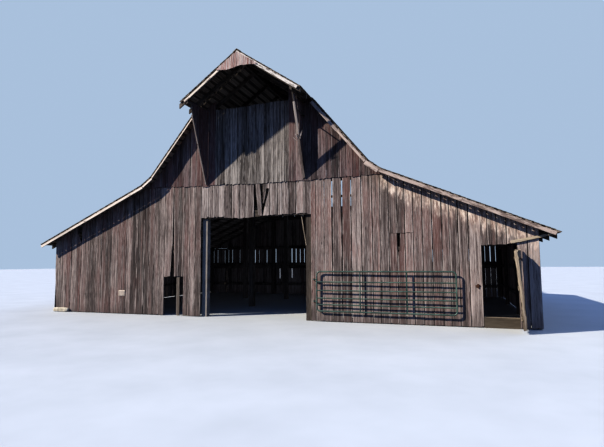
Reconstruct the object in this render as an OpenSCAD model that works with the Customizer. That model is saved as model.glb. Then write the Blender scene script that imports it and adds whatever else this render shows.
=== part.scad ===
// Gambrel-roofed timber barn with a projecting hay hood, lean-to aisles on both
// sides, an open drive-through doorway, a low stock door, a side door with its
// open leaf and a six-rail tube gate folded back beside the doorway.
// Millimetres. +Z up, the ground the barn stands on is z = 0, the front wall
// faces -Y, X runs along the front, the centre line of the barn is x = 0.

/* [Plan] */
// Left corner from the centre line
half_l = 8820; // [8400:20:9000]
// Right corner from the centre line
half_r = 8760; // [8400:20:9000]
// Length of the barn from front wall to rear wall
length_y = 12200; // [10000:100:15000]
// Thickness of the wall boarding
board_t = 30; // [25:1:40]

/* [Front openings] */
// Half of the width of the main doorway
main_door_half = 2070; // [1900:10:2150]
// Height of the main doorway
main_door_h = 3470; // [3300:10:3600]
// Left edge of the low stock door
stock_x0 = -3610; // [-3800:10:-3500]
// Right edge of the low stock door
stock_x1 = -2790; // [-2900:10:-2600]
// Height of the low stock door
stock_h = 1410; // [1200:10:1600]
// Left edge of the side doorway
side_door_x0 = 7250; // [7000:10:7400]
// Right edge of the side doorway
side_door_x1 = 8190; // [8100:10:8300]
// Height of the side doorway
side_door_h = 2370; // [2200:10:2400]

/* [Side door leaf] */
// Width of the side door leaf
leaf_w = 1010; // [980:5:1020]
// Thickness of the side door leaf boards
leaf_t = 30; // [25:1:35]
// Angle the leaf stands open
leaf_open = 80; // [60:1:110]

/* [Gate] */
// Length of the tube gate
gate_l = 4300; // [4200:10:4320]
// Height of the tube gate over its rails
gate_h = 1295; // [1150:5:1350]
// Height of the lowest rail over the ground
gate_z = 318; // [200:2:400]
// Diameter of the gate tubes
gate_d = 46; // [36:1:48]
// Angle between the folded gate and the wall
gate_off = 0.5; // [0.3:0.1:4]

/* [Hidden] */
$fn = 96;
// Roof profile, outer surface: ridge, upper break, flare, lower break, eave tip
ridge_z = 8870;
brk1 = [2245, 7305];
flare = [4000, 5142];
brk2 = [4410, 4822];
eave_x = 9280;
roof_v = 75;        // upper slope thickness measured down
lean_s = 0.436;     // fall of the lean-to roofs
up_s = (ridge_z - brk1[1]) / brk1[0];
st_s = (brk1[1] - 25 - flare[1]) / (flare[0] - brk1[0]);
st_x = 2190;        // inner start of the steep slopes
rake_st = [95, 160]; // rake boards of the steep slopes, left and right, measured down
half_w = [half_l, half_r];
lap_z = 4630;       // lower edge of the gable boarding
low_top = 4700;     // top of the lower boarding, behind the gable boarding
hood_y = -1350;     // front edge of the hay hood
rake_y = -360;      // front edge of the other roof slopes
rear_y = length_y + 400;
mid_y = (rear_y + hood_y - 22) / 2; // the frame's origin is under the middle of the whole outline
hay_x0 = -1500;
hay_x1 = 1300;
hay_top = 7410;
rear_open = 1400;
lean_v = 70;
$r = 0; // the side of the barn, 0 left and 1 right
// undersides of the roof slopes at a distance from the centre line
function r_up(x) = ridge_z - roof_v - up_s * x;
function r_st(x) = flare[1] - 90 + st_s * (flare[0] - x);
function r_le(x) = brk2[1] - lean_v - lean_s * (x - brk2[0]);
// what carries the roof ends 1 mm under it
function u_up(x) = r_up(x) - 1;
function u_st(x) = r_st(x) - 1;
function u_le(x) = r_le(x) - 1;
raf_up = 150; raf_st = 190; raf_le = 140;
inner_y = board_t;                  // inside face of the lower front boarding
girt_t = 70;
post_y = [board_t + girt_t + 100, 4000, 8100, length_y - board_t - girt_t - 100];
post_w = 200;
raf_n = 11;
raf_step = (length_y - 2 * 200) / (raf_n - 1);
leaf_ax = side_door_x1 + 75;
leaf_ay = -28;
gate_ax = 2190;
gate_ay = -90;
hook_z = [gate_z + 290, gate_z + 980];
strap_z = [400, 1960];

// a slab lying along Y with its outline drawn in X and Z
module xz(y0, y1, pts) {
    translate([0, y1 - mid_y, 0]) rotate([90, 0, 0]) linear_extrude(y1 - y0) polygon(pts);
}
// a slab lying along X with its outline drawn in Y and Z
module yz(x0, x1, pts) {
    translate([x0, -mid_y, 0]) rotate([90, 0, 90]) linear_extrude(x1 - x0) polygon(pts);
}
module box(a, b) { translate(a - [0, mid_y, 0]) cube(b - a); }
module side($r) { mirror([1 - $r, 0, 0]) children(); }
module both() { side(0) children(); side(1) children(); }

// pale footing stone under the left front corner
module corner_footing() {
    color([0.72, 0.7, 0.66]) box([-half_l + 60, -120, 0], [-half_l + 860, -5, 170]);
}

module front_wall_left() {
    color([0.42, 0.3, 0.27])
        xz(0, board_t, [[-half_l, 0], [stock_x0, 0], [stock_x0, low_top], [-4460, low_top], [-half_l, u_le(half_l)]]);
}
// boarding over the low stock door and over the side door
module front_over_doors() {
    color([0.42, 0.3, 0.27]) {
        box([stock_x0, 0, stock_h], [stock_x1, board_t, low_top]);
        xz(0, board_t, [[side_door_x0, side_door_h], [side_door_x1, side_door_h], [side_door_x1, u_le(side_door_x1)], [side_door_x0, u_le(side_door_x0)]]);
    }
}
module front_wall_jamb() {
    color([0.45, 0.33, 0.29]) box([stock_x1, 0, 0], [-main_door_half, board_t, low_top]);
}
// boards over the main doorway on both sides of the split boards
module front_header_boards() {
    color([0.5, 0.44, 0.4]) {
        box([-main_door_half, 0, main_door_h], [40, board_t, low_top]);
        box([640, 0, main_door_h], [main_door_half, board_t, low_top]);
    }
}
// a board that has slipped and leans, and one that is broken along the grain
module split_boards() {
    color([0.5, 0.45, 0.42]) {
        xz(0, board_t, [[70, 4690], [212, 4690], [332, 3490], [190, 3490]]);
        xz(0, board_t, [[352, main_door_h], [640, main_door_h], [640, low_top], [590, low_top]]);
    }
}
module front_wall_right() {
    color([0.46, 0.36, 0.32])
        xz(0, board_t, [[main_door_half, 0], [side_door_x0, 0], [side_door_x0, u_le(side_door_x0)], [4460, low_top], [main_door_half, low_top]]);
}
module front_wall_corner() {
    color([0.46, 0.36, 0.32])
        xz(0, board_t, [[side_door_x1, 0], [half_r, 0], [half_r, u_le(half_r)], [side_door_x1, u_le(side_door_x1)]]);
}
function gable(x0) = [[x0, lap_z], [x0, u_up(x0)], [st_x, u_up(st_x)], [st_x, u_st(st_x)], [flare[0], u_st(flare[0])],
    [brk2[0] - 10, brk2[1] - lean_v + 4], [brk2[0] - 10, lap_z]];
module front_gable_left() {
    color([0.44, 0.27, 0.25]) side(0) xz(-board_t, 0, gable(-hay_x0));
}
module front_gable_right() {
    color([0.44, 0.27, 0.25]) side(1) xz(-board_t, 0, gable(hay_x1));
}
// the unpainted hay door, closed up to the foot of the open triangle
module hay_door() {
    color([0.5, 0.47, 0.43]) box([hay_x0, -board_t, lap_z], [hay_x1, 0, hay_top]);
}
module rear_wall() {
    color([0.42, 0.3, 0.27])
        xz(length_y - board_t, length_y, [[-half_l, 0], [half_r, 0], [half_r, u_le(half_r)], [4460, low_top],
            [rear_open, low_top], [rear_open, 4860], [-rear_open, 4860], [-rear_open, low_top], [-4460, low_top], [-half_l, u_le(half_l)]]);
}
module rear_gables() {
    color([0.44, 0.27, 0.25]) both() xz(length_y, length_y + board_t, gable(rear_open));
}
module side_walls() {
    color([0.42, 0.3, 0.27]) both()
        box([half_w[$r] - board_t, board_t, 0], [half_w[$r], length_y - board_t, u_le(half_w[$r]) - raf_le]);
}

// nailing rails inside the front wall
module front_girts() {
    color([0.4, 0.36, 0.32]) {
        box([-6600, board_t, main_door_h], [6600, board_t + girt_t, 3690]);
        box([-4200, board_t, 4540], [4200, board_t + girt_t, 4690]);
        box([-8620, board_t, 900], [stock_x0 - 20, board_t + girt_t, 1010]);
        box([-7800, board_t, 2250], [-main_door_half, board_t + girt_t, 2360]);
        box([main_door_half, board_t, 2250], [7230, board_t + girt_t, 2360]);
        box([main_door_half, board_t, 1000], [7230, board_t + girt_t, 1110]);
        box([-3000, 0, 5700], [hay_x0, girt_t, 5810]);
        box([hay_x1, 0, 5700], [3000, girt_t, 5810]);
    }
}
module rear_girts() {
    y1 = length_y - board_t; y0 = y1 - girt_t;
    color([0.4, 0.36, 0.32]) {
        box([-8620, y0, 500], [8620, y1, 640]);
        box([-8620, y0, 1540], [8620, y1, 1860]);
        box([-7600, y0, 2760], [7600, y1, 2900]);
        box([-4200, y0, 4540], [4200, y1, 4690]);
    }
}
module side_girts() {
    color([0.4, 0.36, 0.32]) both() {
        box([half_w[$r] - board_t - girt_t, board_t, 600], [half_w[$r] - board_t, length_y - board_t, 710]);
        box([half_w[$r] - board_t - girt_t, board_t, 1600], [half_w[$r] - board_t, length_y - board_t, 1710]);
    }
}
// posts beside the drive-through bay, up to the upper plates
module aisle_posts() {
    color([0.38, 0.36, 0.34]) both() for (y = post_y)
        xz(y - 100, y + 100, [[1860, 0], [2060, 0], [2060, u_up(2060) - raf_up - 220], [1860, u_up(1860) - raf_up - 220]]);
}
module main_posts() {
    color([0.38, 0.36, 0.34]) both() for (y = post_y)
        xz(y - 100, y + 100, [[4200, 0], [4400, 0], [4400, u_le(4400) - raf_le - 200], [4200, u_le(4200) - raf_le - 200]]);
}
module side_posts() {
    color([0.38, 0.36, 0.34]) both() for (y = post_y)
        box([half_w[$r] - 250, y - 75, 0], [half_w[$r] - 100, y + 75, u_le(half_w[$r] - 100) - raf_le - 200]);
}
// ties across the bents, fixed to the inner faces of the posts
module tie_beams() {
    color([0.38, 0.36, 0.34]) for (y = [post_y[0] + 100, post_y[1] + 100, post_y[2] + 100, post_y[3] - 180])
        box([-4200, y, 4600], [4200, y + 80, 4690]);
}
// plates along the barn that the rafters sit on, and the hood's short ones
module plates() {
    y0 = 100; y1 = length_y - 100;
    color([0.38, 0.36, 0.34]) both() {
        a = st_x - 210; b = st_x - 10; c = half_w[$r] - 250; d = half_w[$r] - 100;
        xz(y0, y1, [[a, u_up(a) - raf_up - 220], [b, u_up(b) - raf_up - 220], [b, u_up(b) - raf_up], [a, u_up(a) - raf_up]]);
        xz(y0, y1, [[4200, u_le(4200) - raf_le - 200], [4400, u_le(4400) - raf_le - 200], [4400, u_le(4400) - raf_le], [4200, u_le(4200) - raf_le]]);
        xz(y0, y1, [[c, u_le(d) - raf_le - 200], [d, u_le(d) - raf_le - 200], [d, u_le(d) - raf_le], [c, u_le(c) - raf_le]]);
        xz(hood_y + 25, -board_t, [[1825, u_up(1825) - raf_up - 100], [1905, u_up(1905) - raf_up - 100], [1905, u_up(1905) - raf_up], [1825, u_up(1825) - raf_up]]);
    }
}
module ridge_board() {
    color([0.38, 0.34, 0.31]) box([-20, hood_y + 25, u_up(20) - 230], [20, rear_y - 25, u_up(20)]);
}
module upper_rafters() {
    color([0.36, 0.32, 0.3]) both() for (y = [hood_y + 75, -690, for (i = [0:raf_n - 1]) 200 + i * raf_step])
        xz(y - 25, y + 25, [[20, u_up(20)], [20, u_up(20) - raf_up], [st_x - 10, u_up(st_x - 10) - raf_up], [st_x - 10, u_up(st_x - 10)]]);
}
module steep_rafters() {
    color([0.36, 0.32, 0.3]) both() for (i = [0:raf_n - 1]) { y = 200 + i * raf_step; a = st_x; f = flare[0];
        xz(y - 25, y + 25, [[a, u_st(a)], [a, u_st(a) - raf_st], [f, u_st(f) - raf_st], [f + 60, u_st(f) - raf_st - 20], [f, u_st(f)]]); }
}
module lean_rafters() {
    color([0.36, 0.32, 0.3]) both() for (i = [0:raf_n - 1]) { y = 200 + i * raf_step;
        xz(y - 25, y + 25, [[4200, u_le(4200) - raf_le], [4400, u_le(4400)], [eave_x - 40, u_le(eave_x - 40)], [eave_x - 40, u_le(eave_x - 40) - raf_le]]); }
}
module upper_roof() {
    color([0.22, 0.2, 0.19]) both() {
        h = [2125, 2180][$r]; b = brk1[0];
        xz(hood_y, rake_y, [[1, ridge_z - up_s], [1, r_up(1)], [h, r_up(h)], [h, r_up(h) + roof_v]]);
        xz(rake_y, rear_y, [[1, ridge_z - up_s], [1, r_up(1)], [b, r_up(b)], [b, r_up(b) + roof_v]]);
    }
}
module steep_roofs() {
    color([0.22, 0.2, 0.19]) both()
        xz(rake_y, rear_y, [[st_x, u_up(st_x)], [brk1[0] + 1, u_up(brk1[0] + 1)], brk1 + [1, -25], flare, brk2, brk2 - [0, lean_v],
            [flare[0], r_st(flare[0])], [st_x, r_st(st_x)]]);
}
module lean_roofs() {
    color([0.22, 0.2, 0.19]) both()
        xz(rake_y, rear_y, [brk2 + [1, 0], brk2 + [1, -lean_v], [eave_x, r_le(eave_x)], [eave_x, r_le(eave_x) + lean_v]]);
}
// rake boards under the roof edges
module hood_barge() {
    color([0.75, 0.7, 0.6]) both() {
        a = [2010, 2112][$r]; b = [2010, 2172][$r];
        xz(hood_y, hood_y + 25, [[1, u_up(1)], [1, u_up(1) - 125], [a, u_up(a) - 125], [b, u_up(b)]]);
    }
}
module rake_boards(y0) {
    both() {
        a = brk1[0] + 15; f = flare[0]; b = brk2[0]; h = rake_st[$r]; e = eave_x - 20;
        xz(y0, y0 + 25, [[a, u_st(a)], [a, u_st(a) - h], [f - 1, u_st(f) - h], [f - 1, u_st(f - 1)]]);
        xz(y0, y0 + 25, [[f + 1, u_st(f) - 1], [f + 1, u_st(f) - h], [b - 1, u_le(b) - 120], [b - 1, u_le(b)]]);
        xz(y0, y0 + 25, [[b + 1, u_le(b + 1)], [b + 1, u_le(b + 1) - 120], [e, u_le(e) - 120], [e, u_le(e)]]);
    }
}
module front_barge() { color([0.68, 0.64, 0.56]) rake_boards(rake_y); }
module rear_barge() {
    color([0.68, 0.64, 0.56]) {
        rake_boards(rear_y - 25);
        both() { a = st_x - 2; xz(rear_y - 25, rear_y, [[21, u_up(21)], [21, u_up(21) - 140], [a, u_up(a) - 140], [a, u_up(a)]]); }
    }
}
// short upright boards that close the peak of the hood
module hood_peak_boards() {
    color([0.5, 0.3, 0.26])
        xz(hood_y - 22, hood_y, [[-700, u_up(700) - 30], [0, u_up(0) - 30], [700, u_up(700) - 30], [-330, 8180]]);
}
// boarded wings under the hood: the left one reaches the strut, the right one has lost its outer boards
module hood_wings() {
    t = u_up(1825) - raf_up - 2; y = -board_t;
    color([0.42, 0.25, 0.23]) {
        side(0) yz(1800, 1825, [[y, lap_z + 20], [y, t], [y - 1030, t], [y - 1030, lap_z + 20 + 2.385 * 1030]]);
        side(1) yz(1800, 1825, [[y, lap_z + 20], [y, t], [y - 620, t], [y - 620, 7200], [y - 335, 6680], [y - 335, lap_z + 20 + 2.385 * 335]]);
    }
}
// sloping struts under the hood's sides and the short cross-pieces that tie them to the wall
module hood_struts() {
    color([0.55, 0.5, 0.45]) both() {
        h = 240; t = u_up(1865) - raf_up - 101; z = lap_z + 30;
        yz(1825, 1865, [[-board_t, z], [-board_t, z + h], [-board_t - (t - z - h) / 2.355, t], [-board_t - (t - z) / 2.355, t]]);
        box([1865, -890, 6760], [1890, -board_t, 6800]);
    }
}
// rough plank nailed over the side door and the corner
module header_pole() {
    color([0.5, 0.47, 0.42])
        xz(-60, 0, [[8040, 2395], [9090, 2595], [9090, 2655], [8040, 2480]]);
}
module side_door_sill() {
    color([0.62, 0.56, 0.46]) box([side_door_x0, 0, 0], [side_door_x1, 160, 300]);
}
// ledged leaf of the side door, standing open
module side_door_leaf() {
    color([0.55, 0.5, 0.44]) translate([leaf_ax, leaf_ay - mid_y, 0]) rotate([0, 0, leaf_open]) {
        translate([-leaf_w, -leaf_t / 2, 80]) cube([leaf_w - 20, leaf_t, 2130]);
        for (z = [340, 1120, 1900]) translate([-leaf_w + 85, leaf_t / 2, z]) cube([leaf_w - 195, 24, 120]);
    }
}
// strap hinges on the outer face of the leaf, with eyes round the hinge line
module side_door_straps() {
    color([0.25, 0.22, 0.2]) translate([leaf_ax, leaf_ay - mid_y, 0]) rotate([0, 0, leaf_open])
        for (z = strap_z) difference() {
            union() {
                translate([0, 0, z - 22]) cylinder(d = 36, h = 44);
                translate([-560, -leaf_t / 2 - 6, z - 22]) cube([560, 6, 44]);
            }
            translate([0, 0, z - 40]) cylinder(d = 17, h = 80);
        }
}
// tube gate with six rails, two uprights and rounded ends
module gate_tube(a, b, d) {
    v = b - a; l = norm(v);
    translate(a) rotate([0, acos(v[2] / l), atan2(v[1], v[0])]) cylinder(d = d, h = l);
}
module gate() {
    color([0.1, 0.24, 0.18]) translate([gate_ax, gate_ay - mid_y, 0]) rotate([0, 0, -gate_off]) {
        x0 = 70; x1 = x0 + gate_l; z0 = gate_z; z1 = gate_z + gate_h; r = 130;
        for (z = [z0 + gate_d / 2, z1 - gate_d / 2]) gate_tube([x0 + r, 0, z], [x1 - r, 0, z], gate_d);
        for (x = [x0 + gate_d / 2, x1 - gate_d / 2]) gate_tube([x, 0, z0 + r], [x, 0, z1 - r], gate_d);
        for (c = [[x0 + r, z0 + r, 180], [x1 - r, z0 + r, 270], [x1 - r, z1 - r, 0], [x0 + r, z1 - r, 90]])
            translate([c[0], 0, c[1]]) rotate([90, 0, 0]) rotate([0, 0, c[2]])
                rotate_extrude(angle = 90, $fn = 200) translate([r - gate_d / 2, 0]) circle(d = gate_d, $fn = 96);
        for (z = [z0 + 228, z0 + 432, z0 + 674, z0 + 944]) gate_tube([x0 + gate_d / 2, 0, z], [x1 - gate_d / 2, 0, z], 38);
        for (x = [x0 + 1433, x0 + 2867]) gate_tube([x, 0, z0 + gate_d / 2], [x, 0, z1 - gate_d / 2], 34);
    }
}
// eyes on the gate's end that drop over the hook pins
module gate_eyes() {
    color([0.1, 0.24, 0.18]) translate([gate_ax, gate_ay - mid_y, 0]) rotate([0, 0, -gate_off])
        for (z = hook_z) difference() {
            union() {
                translate([0, 0, z + 25]) cylinder(d = 60, h = 36);
                translate([20, -6, z + 25]) cube([50, 12, 36]);
            }
            translate([0, 0, z]) cylinder(d = 34, h = 90);
        }
}
// hook pins driven into the boarding, for the gate and for the side door
module hinge_hooks() {
    color([0.25, 0.22, 0.2]) {
        for (z = hook_z) {
            translate([gate_ax, -mid_y, z]) rotate([90, 0, 0]) cylinder(d = 20, h = -gate_ay);
            translate([gate_ax, gate_ay - mid_y, z - 10]) cylinder(d = 20, h = 100);
        }
        for (z = strap_z) {
            translate([leaf_ax, -mid_y, z - 31]) rotate([90, 0, 0]) cylinder(d = 14, h = -leaf_ay);
            translate([leaf_ax, leaf_ay - mid_y, z - 38]) cylinder(d = 14, h = 78);
        }
    }
}
// blank metal plate low on the left boarding
module wall_plate() {
    color([0.7, 0.69, 0.66]) box([-5640, -4, 660], [-5330, 0, 880]);
}
// loose plank standing inside the low stock door
module stock_door_plank() {
    color([0.45, 0.43, 0.41]) box([-3090, board_t, 0], [-2950, board_t + 25, stock_h + 120]);
}
// lath hanging from the head of the main doorway
module hanging_lath() {
    color([0.55, 0.5, 0.44])
        xz(board_t + girt_t - 14, board_t + girt_t, [[1690, main_door_h - 1], [1725, main_door_h - 1], [1890, 2450], [1862, 2445]]);
}

corner_footing();
front_wall_left();
front_over_doors();
front_wall_jamb();
front_header_boards();
split_boards();
front_wall_right();
front_wall_corner();
front_gable_left();
front_gable_right();
hay_door();
rear_wall();
rear_gables();
side_walls();
front_girts();
rear_girts();
side_girts();
aisle_posts();
main_posts();
side_posts();
tie_beams();
plates();
ridge_board();
upper_rafters();
steep_rafters();
lean_rafters();
upper_roof();
steep_roofs();
lean_roofs();
hood_barge();
front_barge();
rear_barge();
hood_peak_boards();
hood_wings();
hood_struts();
header_pole();
side_door_sill();
side_door_leaf();
side_door_straps();
gate();
gate_eyes();
hinge_hooks();
wall_plate();
stock_door_plank();
hanging_lath();
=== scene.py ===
import math
import bpy
import numpy as np
from mathutils import Matrix, Vector


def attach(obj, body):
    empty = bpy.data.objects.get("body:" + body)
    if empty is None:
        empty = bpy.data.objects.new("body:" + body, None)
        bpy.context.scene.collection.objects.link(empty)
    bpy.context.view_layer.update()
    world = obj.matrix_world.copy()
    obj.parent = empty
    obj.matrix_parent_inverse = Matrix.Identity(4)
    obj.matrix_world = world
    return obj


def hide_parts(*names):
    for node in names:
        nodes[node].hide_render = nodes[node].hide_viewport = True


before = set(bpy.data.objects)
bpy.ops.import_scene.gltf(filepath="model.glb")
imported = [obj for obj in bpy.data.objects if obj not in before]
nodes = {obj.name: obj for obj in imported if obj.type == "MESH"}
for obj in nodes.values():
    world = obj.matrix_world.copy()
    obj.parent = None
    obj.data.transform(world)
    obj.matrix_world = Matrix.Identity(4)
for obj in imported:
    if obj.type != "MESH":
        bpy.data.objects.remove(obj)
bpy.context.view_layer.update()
MID = 5.614        # the front wall's outer face is at y = -MID
RNG = np.random.default_rng(7)


def A(*v):
    return np.array(v, float)


def F(x, y, z):
    """A point measured from the front wall's outer face."""
    return A(x, y - MID, z)


# ---------------------------------------------------------------- roof lines
def r_up(x): return 8.795 - 0.697105 * abs(x)
def r_st(x): return 5.052 + 1.218234 * (4.0 - abs(x))
def r_le(x): return 4.752 - 0.436 * (abs(x) - 4.41)


def under(x):
    """Underside of the roof over the gable walls."""
    x = abs(x)
    if x < 2.19:
        return r_up(x)
    if x < 4.0:
        return r_st(x)
    if x < 4.41:
        return 5.052 - (x - 4.0) / 0.41 * 0.30
    return r_le(x)


# ---------------------------------------------------------------- meshes
class Build:
    def __init__(self):
        self.v, self.f, self.g, self.t, self.s, self.m, self.n = [], [], [], [], [], [], 0

    def add(self, v, f, g, t, s, mat=0):
        self.v.append(v); self.f.append(f + self.n); self.g.append(g)
        self.t.append(np.broadcast_to(t, v.shape)); self.s.append(s)
        self.m.append(np.full(len(f), mat)); self.n += len(v)

    def make(self, name, mats, body="barn", replaces=(), slot=None, smooth=False):
        v = np.concatenate(self.v); f = np.concatenate(self.f).astype(np.int32)
        me = bpy.data.meshes.new(name)
        me.vertices.add(len(v)); me.vertices.foreach_set("co", v.astype(np.float32).ravel())
        me.loops.add(f.size); me.loops.foreach_set("vertex_index", f.ravel())
        me.polygons.add(len(f)); me.polygons.foreach_set("loop_start", np.arange(0, f.size, 4, dtype=np.int32))
        me.polygons.foreach_set("material_index", np.concatenate(self.m).astype(np.int32))
        for nm, arr in (("gco", self.g), ("tone", self.t), ("st", self.s)):
            at = me.attributes.new(nm, "FLOAT_VECTOR", "POINT")
            at.data.foreach_set("vector", np.concatenate(arr).astype(np.float32).ravel())
        me.update(calc_edges=True); me.validate()
        for v in me.vertices:      # rough-cut feet stay on the ground
            v.co.z = max(v.co.z, .001)
        me.shade_smooth() if smooth else me.shade_flat()
        for mt in mats:
            me.materials.append(mt)
        ob = bpy.data.objects.new(name, me)
        bpy.context.scene.collection.objects.link(ob)
        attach(ob, body)
        if replaces:
            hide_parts(*([replaces] if isinstance(replaces, str) else replaces))
        return ob


def plane(o, ax, az, n):
    return (A(*o), A(*ax), A(*az), A(*n))


FRONT = plane((0, -MID, 0), (1, 0, 0), (0, 0, 1), (0, -1, 0))
FRONT_IN = plane((0, .03 - MID, 0), (1, 0, 0), (0, 0, 1), (0, -1, 0))


def tone(l=0., r=0., w=0., spread=1.):
    """lightness, red paint and white streaks of one board, each about -1 to 1"""
    a = RNG.normal(0, .38 * spread, 3)
    return A(l + a[0], r + a[1], w + abs(a[2]) * .8)


def cols(nc):
    return A(0, .04, .35, .65, .96, 1) if nc == 6 else np.r_[0, .03, np.linspace(.03, .97, nc - 2)[1:-1], .97, 1]


def board(B, pl, q, th=.024, d=0., tn=None, rag=(.004, .004), edge=.003, bow=0., curl=(0., 0.), twist=0.,
          cup=None, nr=0, nc=6, bevel=.003, mat=0, jag=(0, 0), shape=None):
    """A sawn board: corners q = bottom left, bottom right, top right, top left in the plane's own axes.
    shape lists (height, left, right) of an upright board with broken edges."""
    O, AX, AZ, N = pl
    if shape:
        q = [(shape[0][1], shape[0][0]), (shape[0][2], shape[0][0]), (shape[-1][2], shape[-1][0]), (shape[-1][1], shape[-1][0])]
    bl, br, tr, tl = [A(*p) for p in q]
    L = np.linalg.norm((tl + tr) / 2 - (bl + br) / 2)
    W = max(np.linalg.norm(br - bl), np.linalg.norm(tr - tl))
    nr = nr or int(min(18, max(3, L / .3 + 2)))
    s = cols(nc); t = np.linspace(0, 1, nr + 1)
    if shape:
        sh = A(*[A(*r) for r in shape]); zn = (sh[:, 0] - sh[0, 0]) / (sh[-1, 0] - sh[0, 0])
        t = np.unique(np.round(np.r_[t, zn], 4)); t = t[np.r_[True, np.diff(t) > .004]]; t[-1] = 1.; nr = len(t) - 1
        W = (sh[:, 2] - sh[:, 1]).max()
    S, T = np.meshgrid(s, t)
    P = (bl + (tl - bl) * T[..., None]) * (1 - S[..., None]) + (br + (tr - br) * T[..., None]) * S[..., None]
    if shape:
        xl, xr = np.interp(T, zn, sh[:, 1]), np.interp(T, zn, sh[:, 2])
        P = np.stack([xl + (xr - xl) * S, sh[0, 0] + (sh[-1, 0] - sh[0, 0]) * T], -1)
    ac = (br - bl) + (tr - tl); ac /= np.linalg.norm(ac)
    al = (tl - bl) + (tr - br); al /= np.linalg.norm(al)
    ph = RNG.uniform(0, 6.28, 8)

    def wob(k):
        return (np.sin(T * L * 1.7 + ph[k]) * .5 + np.sin(T * L * 4.3 + ph[k + 1]) * .3 + np.sin(T * L * 9.1 + ph[k + 2]) * .2)
    e = edge * (wob(0) * (1 - S) + wob(3) * S)
    for k, side in ((0, 1 - S), (1, S)):
        if jag[k]:
            j = RNG.normal(0, jag[k], nr + 1); j[0] *= .5; j[-1] *= .5
            e = e + j[:, None] * (side > .9)
    P = P + ac * e[..., None]
    r0 = RNG.normal(0, rag[0], len(s)); r1 = RNG.normal(0, rag[1], len(s))
    if abs(AZ[2]) > .5:
        r0 = np.maximum(r0, .02 - (O[2] + min(bl[1], br[1]))) if O[2] + min(bl[1], br[1]) < .03 and rag[0] > .002 else r0
    P = P + al * (r0[None, :] * np.exp(-T * L / .05) + r1[None, :] * np.exp(-(1 - T) * L / .05))[..., None]
    cup = RNG.normal(0, .0015) if cup is None else cup
    D = d + bow * (1 - 4 * (T - .5) ** 2) + curl[0] * (1 - T) ** 5 + curl[1] * T ** 5 + twist * (T - .5) * (S - .5) * 2 + cup * (2 * S - 1) ** 2
    Df = D - bevel * ((S <= 0) | (S >= 1))
    base = O + P[..., :1] * AX + P[..., 1:] * AZ
    fr = (base + Df[..., None] * N).reshape(-1, 3); bk = (base + (D - th)[..., None] * N).reshape(-1, 3)
    nc_ = len(s); n = len(fr)
    i = np.arange(nr)[:, None] * nc_ + np.arange(nc_ - 1)[None, :]; i = i.ravel()
    front = np.stack([i, i + 1, i + 1 + nc_, i + nc_], 1)
    back = np.stack([i + n, i + nc_ + n, i + 1 + nc_ + n, i + 1 + n], 1)
    a = np.arange(nr) * nc_
    left = np.stack([a, a + nc_, a + nc_ + n, a + n], 1)
    b = a + nc_ - 1
    right = np.stack([b + nc_, b, b + n, b + nc_ + n], 1)
    c = np.arange(nc_ - 1)
    bot = np.stack([c + 1, c, c + n, c + 1 + n], 1)
    c2 = c + nr * nc_
    top = np.stack([c2, c2 + 1, c2 + 1 + n, c2 + n], 1)
    faces = np.concatenate([front, back, left, right, bot, top])
    if np.dot(np.cross(AX, AZ), N) < 0:
        faces = faces[:, ::-1]
    o = RNG.uniform(0, 40, 3)
    g = np.stack([S * W + o[0], T * L + o[1], np.full_like(S, o[2])], -1).reshape(-1, 3)
    g2 = g + A(th, 0, .37)
    st = np.stack([S, T, np.full_like(S, L)], -1).reshape(-1, 3)
    tn = tone() if tn is None else tn
    B.add(np.concatenate([fr, bk]), faces, np.concatenate([g, g2]), tn, np.concatenate([st, st]), mat)


def random_joints(x0, x1, lo, hi):
    out = [x0]
    while out[-1] < x1 - hi * 1.2:
        out.append(out[-1] + RNG.uniform(lo, hi))
    if x1 - out[-1] > lo * .8:
        out.append(x1)
    else:
        out[-1] = x1
    return out


def wall(B, pl, joints, bot, top, gap=(.006, .014), gaps=None, tn=None, th=.024, rag=(.008, .004), d=(0., .004), mat=0, **kw):
    """Upright boards side by side; gaps maps a joint's number to its own gap width."""
    n = len(joints); g = RNG.uniform(gap[0], gap[1], n)
    for k, w in (gaps or {}).items():
        g[k] = w
    g[0] = g[-1] = 0
    for i in range(n - 1):
        x0 = joints[i] + g[i] / 2; x1 = joints[i + 1] - g[i + 1] / 2
        t = tn(i, (x0 + x1) / 2) if callable(tn) else tone() if tn is None else tone(*tn)
        board(B, pl, [(x0, bot(x0)), (x1, bot(x1)), (x1, top(x1)), (x0, top(x0))], th=th, tn=t, rag=rag,
              d=-RNG.uniform(d[0], d[1]), bow=RNG.normal(0, .0025), twist=RNG.normal(0, .002),
              curl=(abs(RNG.normal(0, .004)), abs(RNG.normal(0, .002))), mat=mat, **kw)


def box_piece(B, lo, hi, mat=0, tn=None, wob=.0015, along=2):
    """A sawn timber with slightly uneven faces, from its low to its high corner."""
    lo, hi = A(*lo), A(*hi)
    ax = [i for i in range(3) if i != along]
    e = np.eye(3)
    mid = (lo + hi) / 2
    q = [(lo[ax[0]], lo[along]), (hi[ax[0]], lo[along]), (hi[ax[0]], hi[along]), (lo[ax[0]], hi[along])]
    o = A(0, 0, 0); o[ax[1]] = hi[ax[1]]
    board(B, (o, e[ax[0]], e[along], e[ax[1]]), q, th=hi[ax[1]] - lo[ax[1]], tn=tn, edge=wob, rag=(.002, .002), cup=0, bevel=.004, mat=mat)
    return mid


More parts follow.
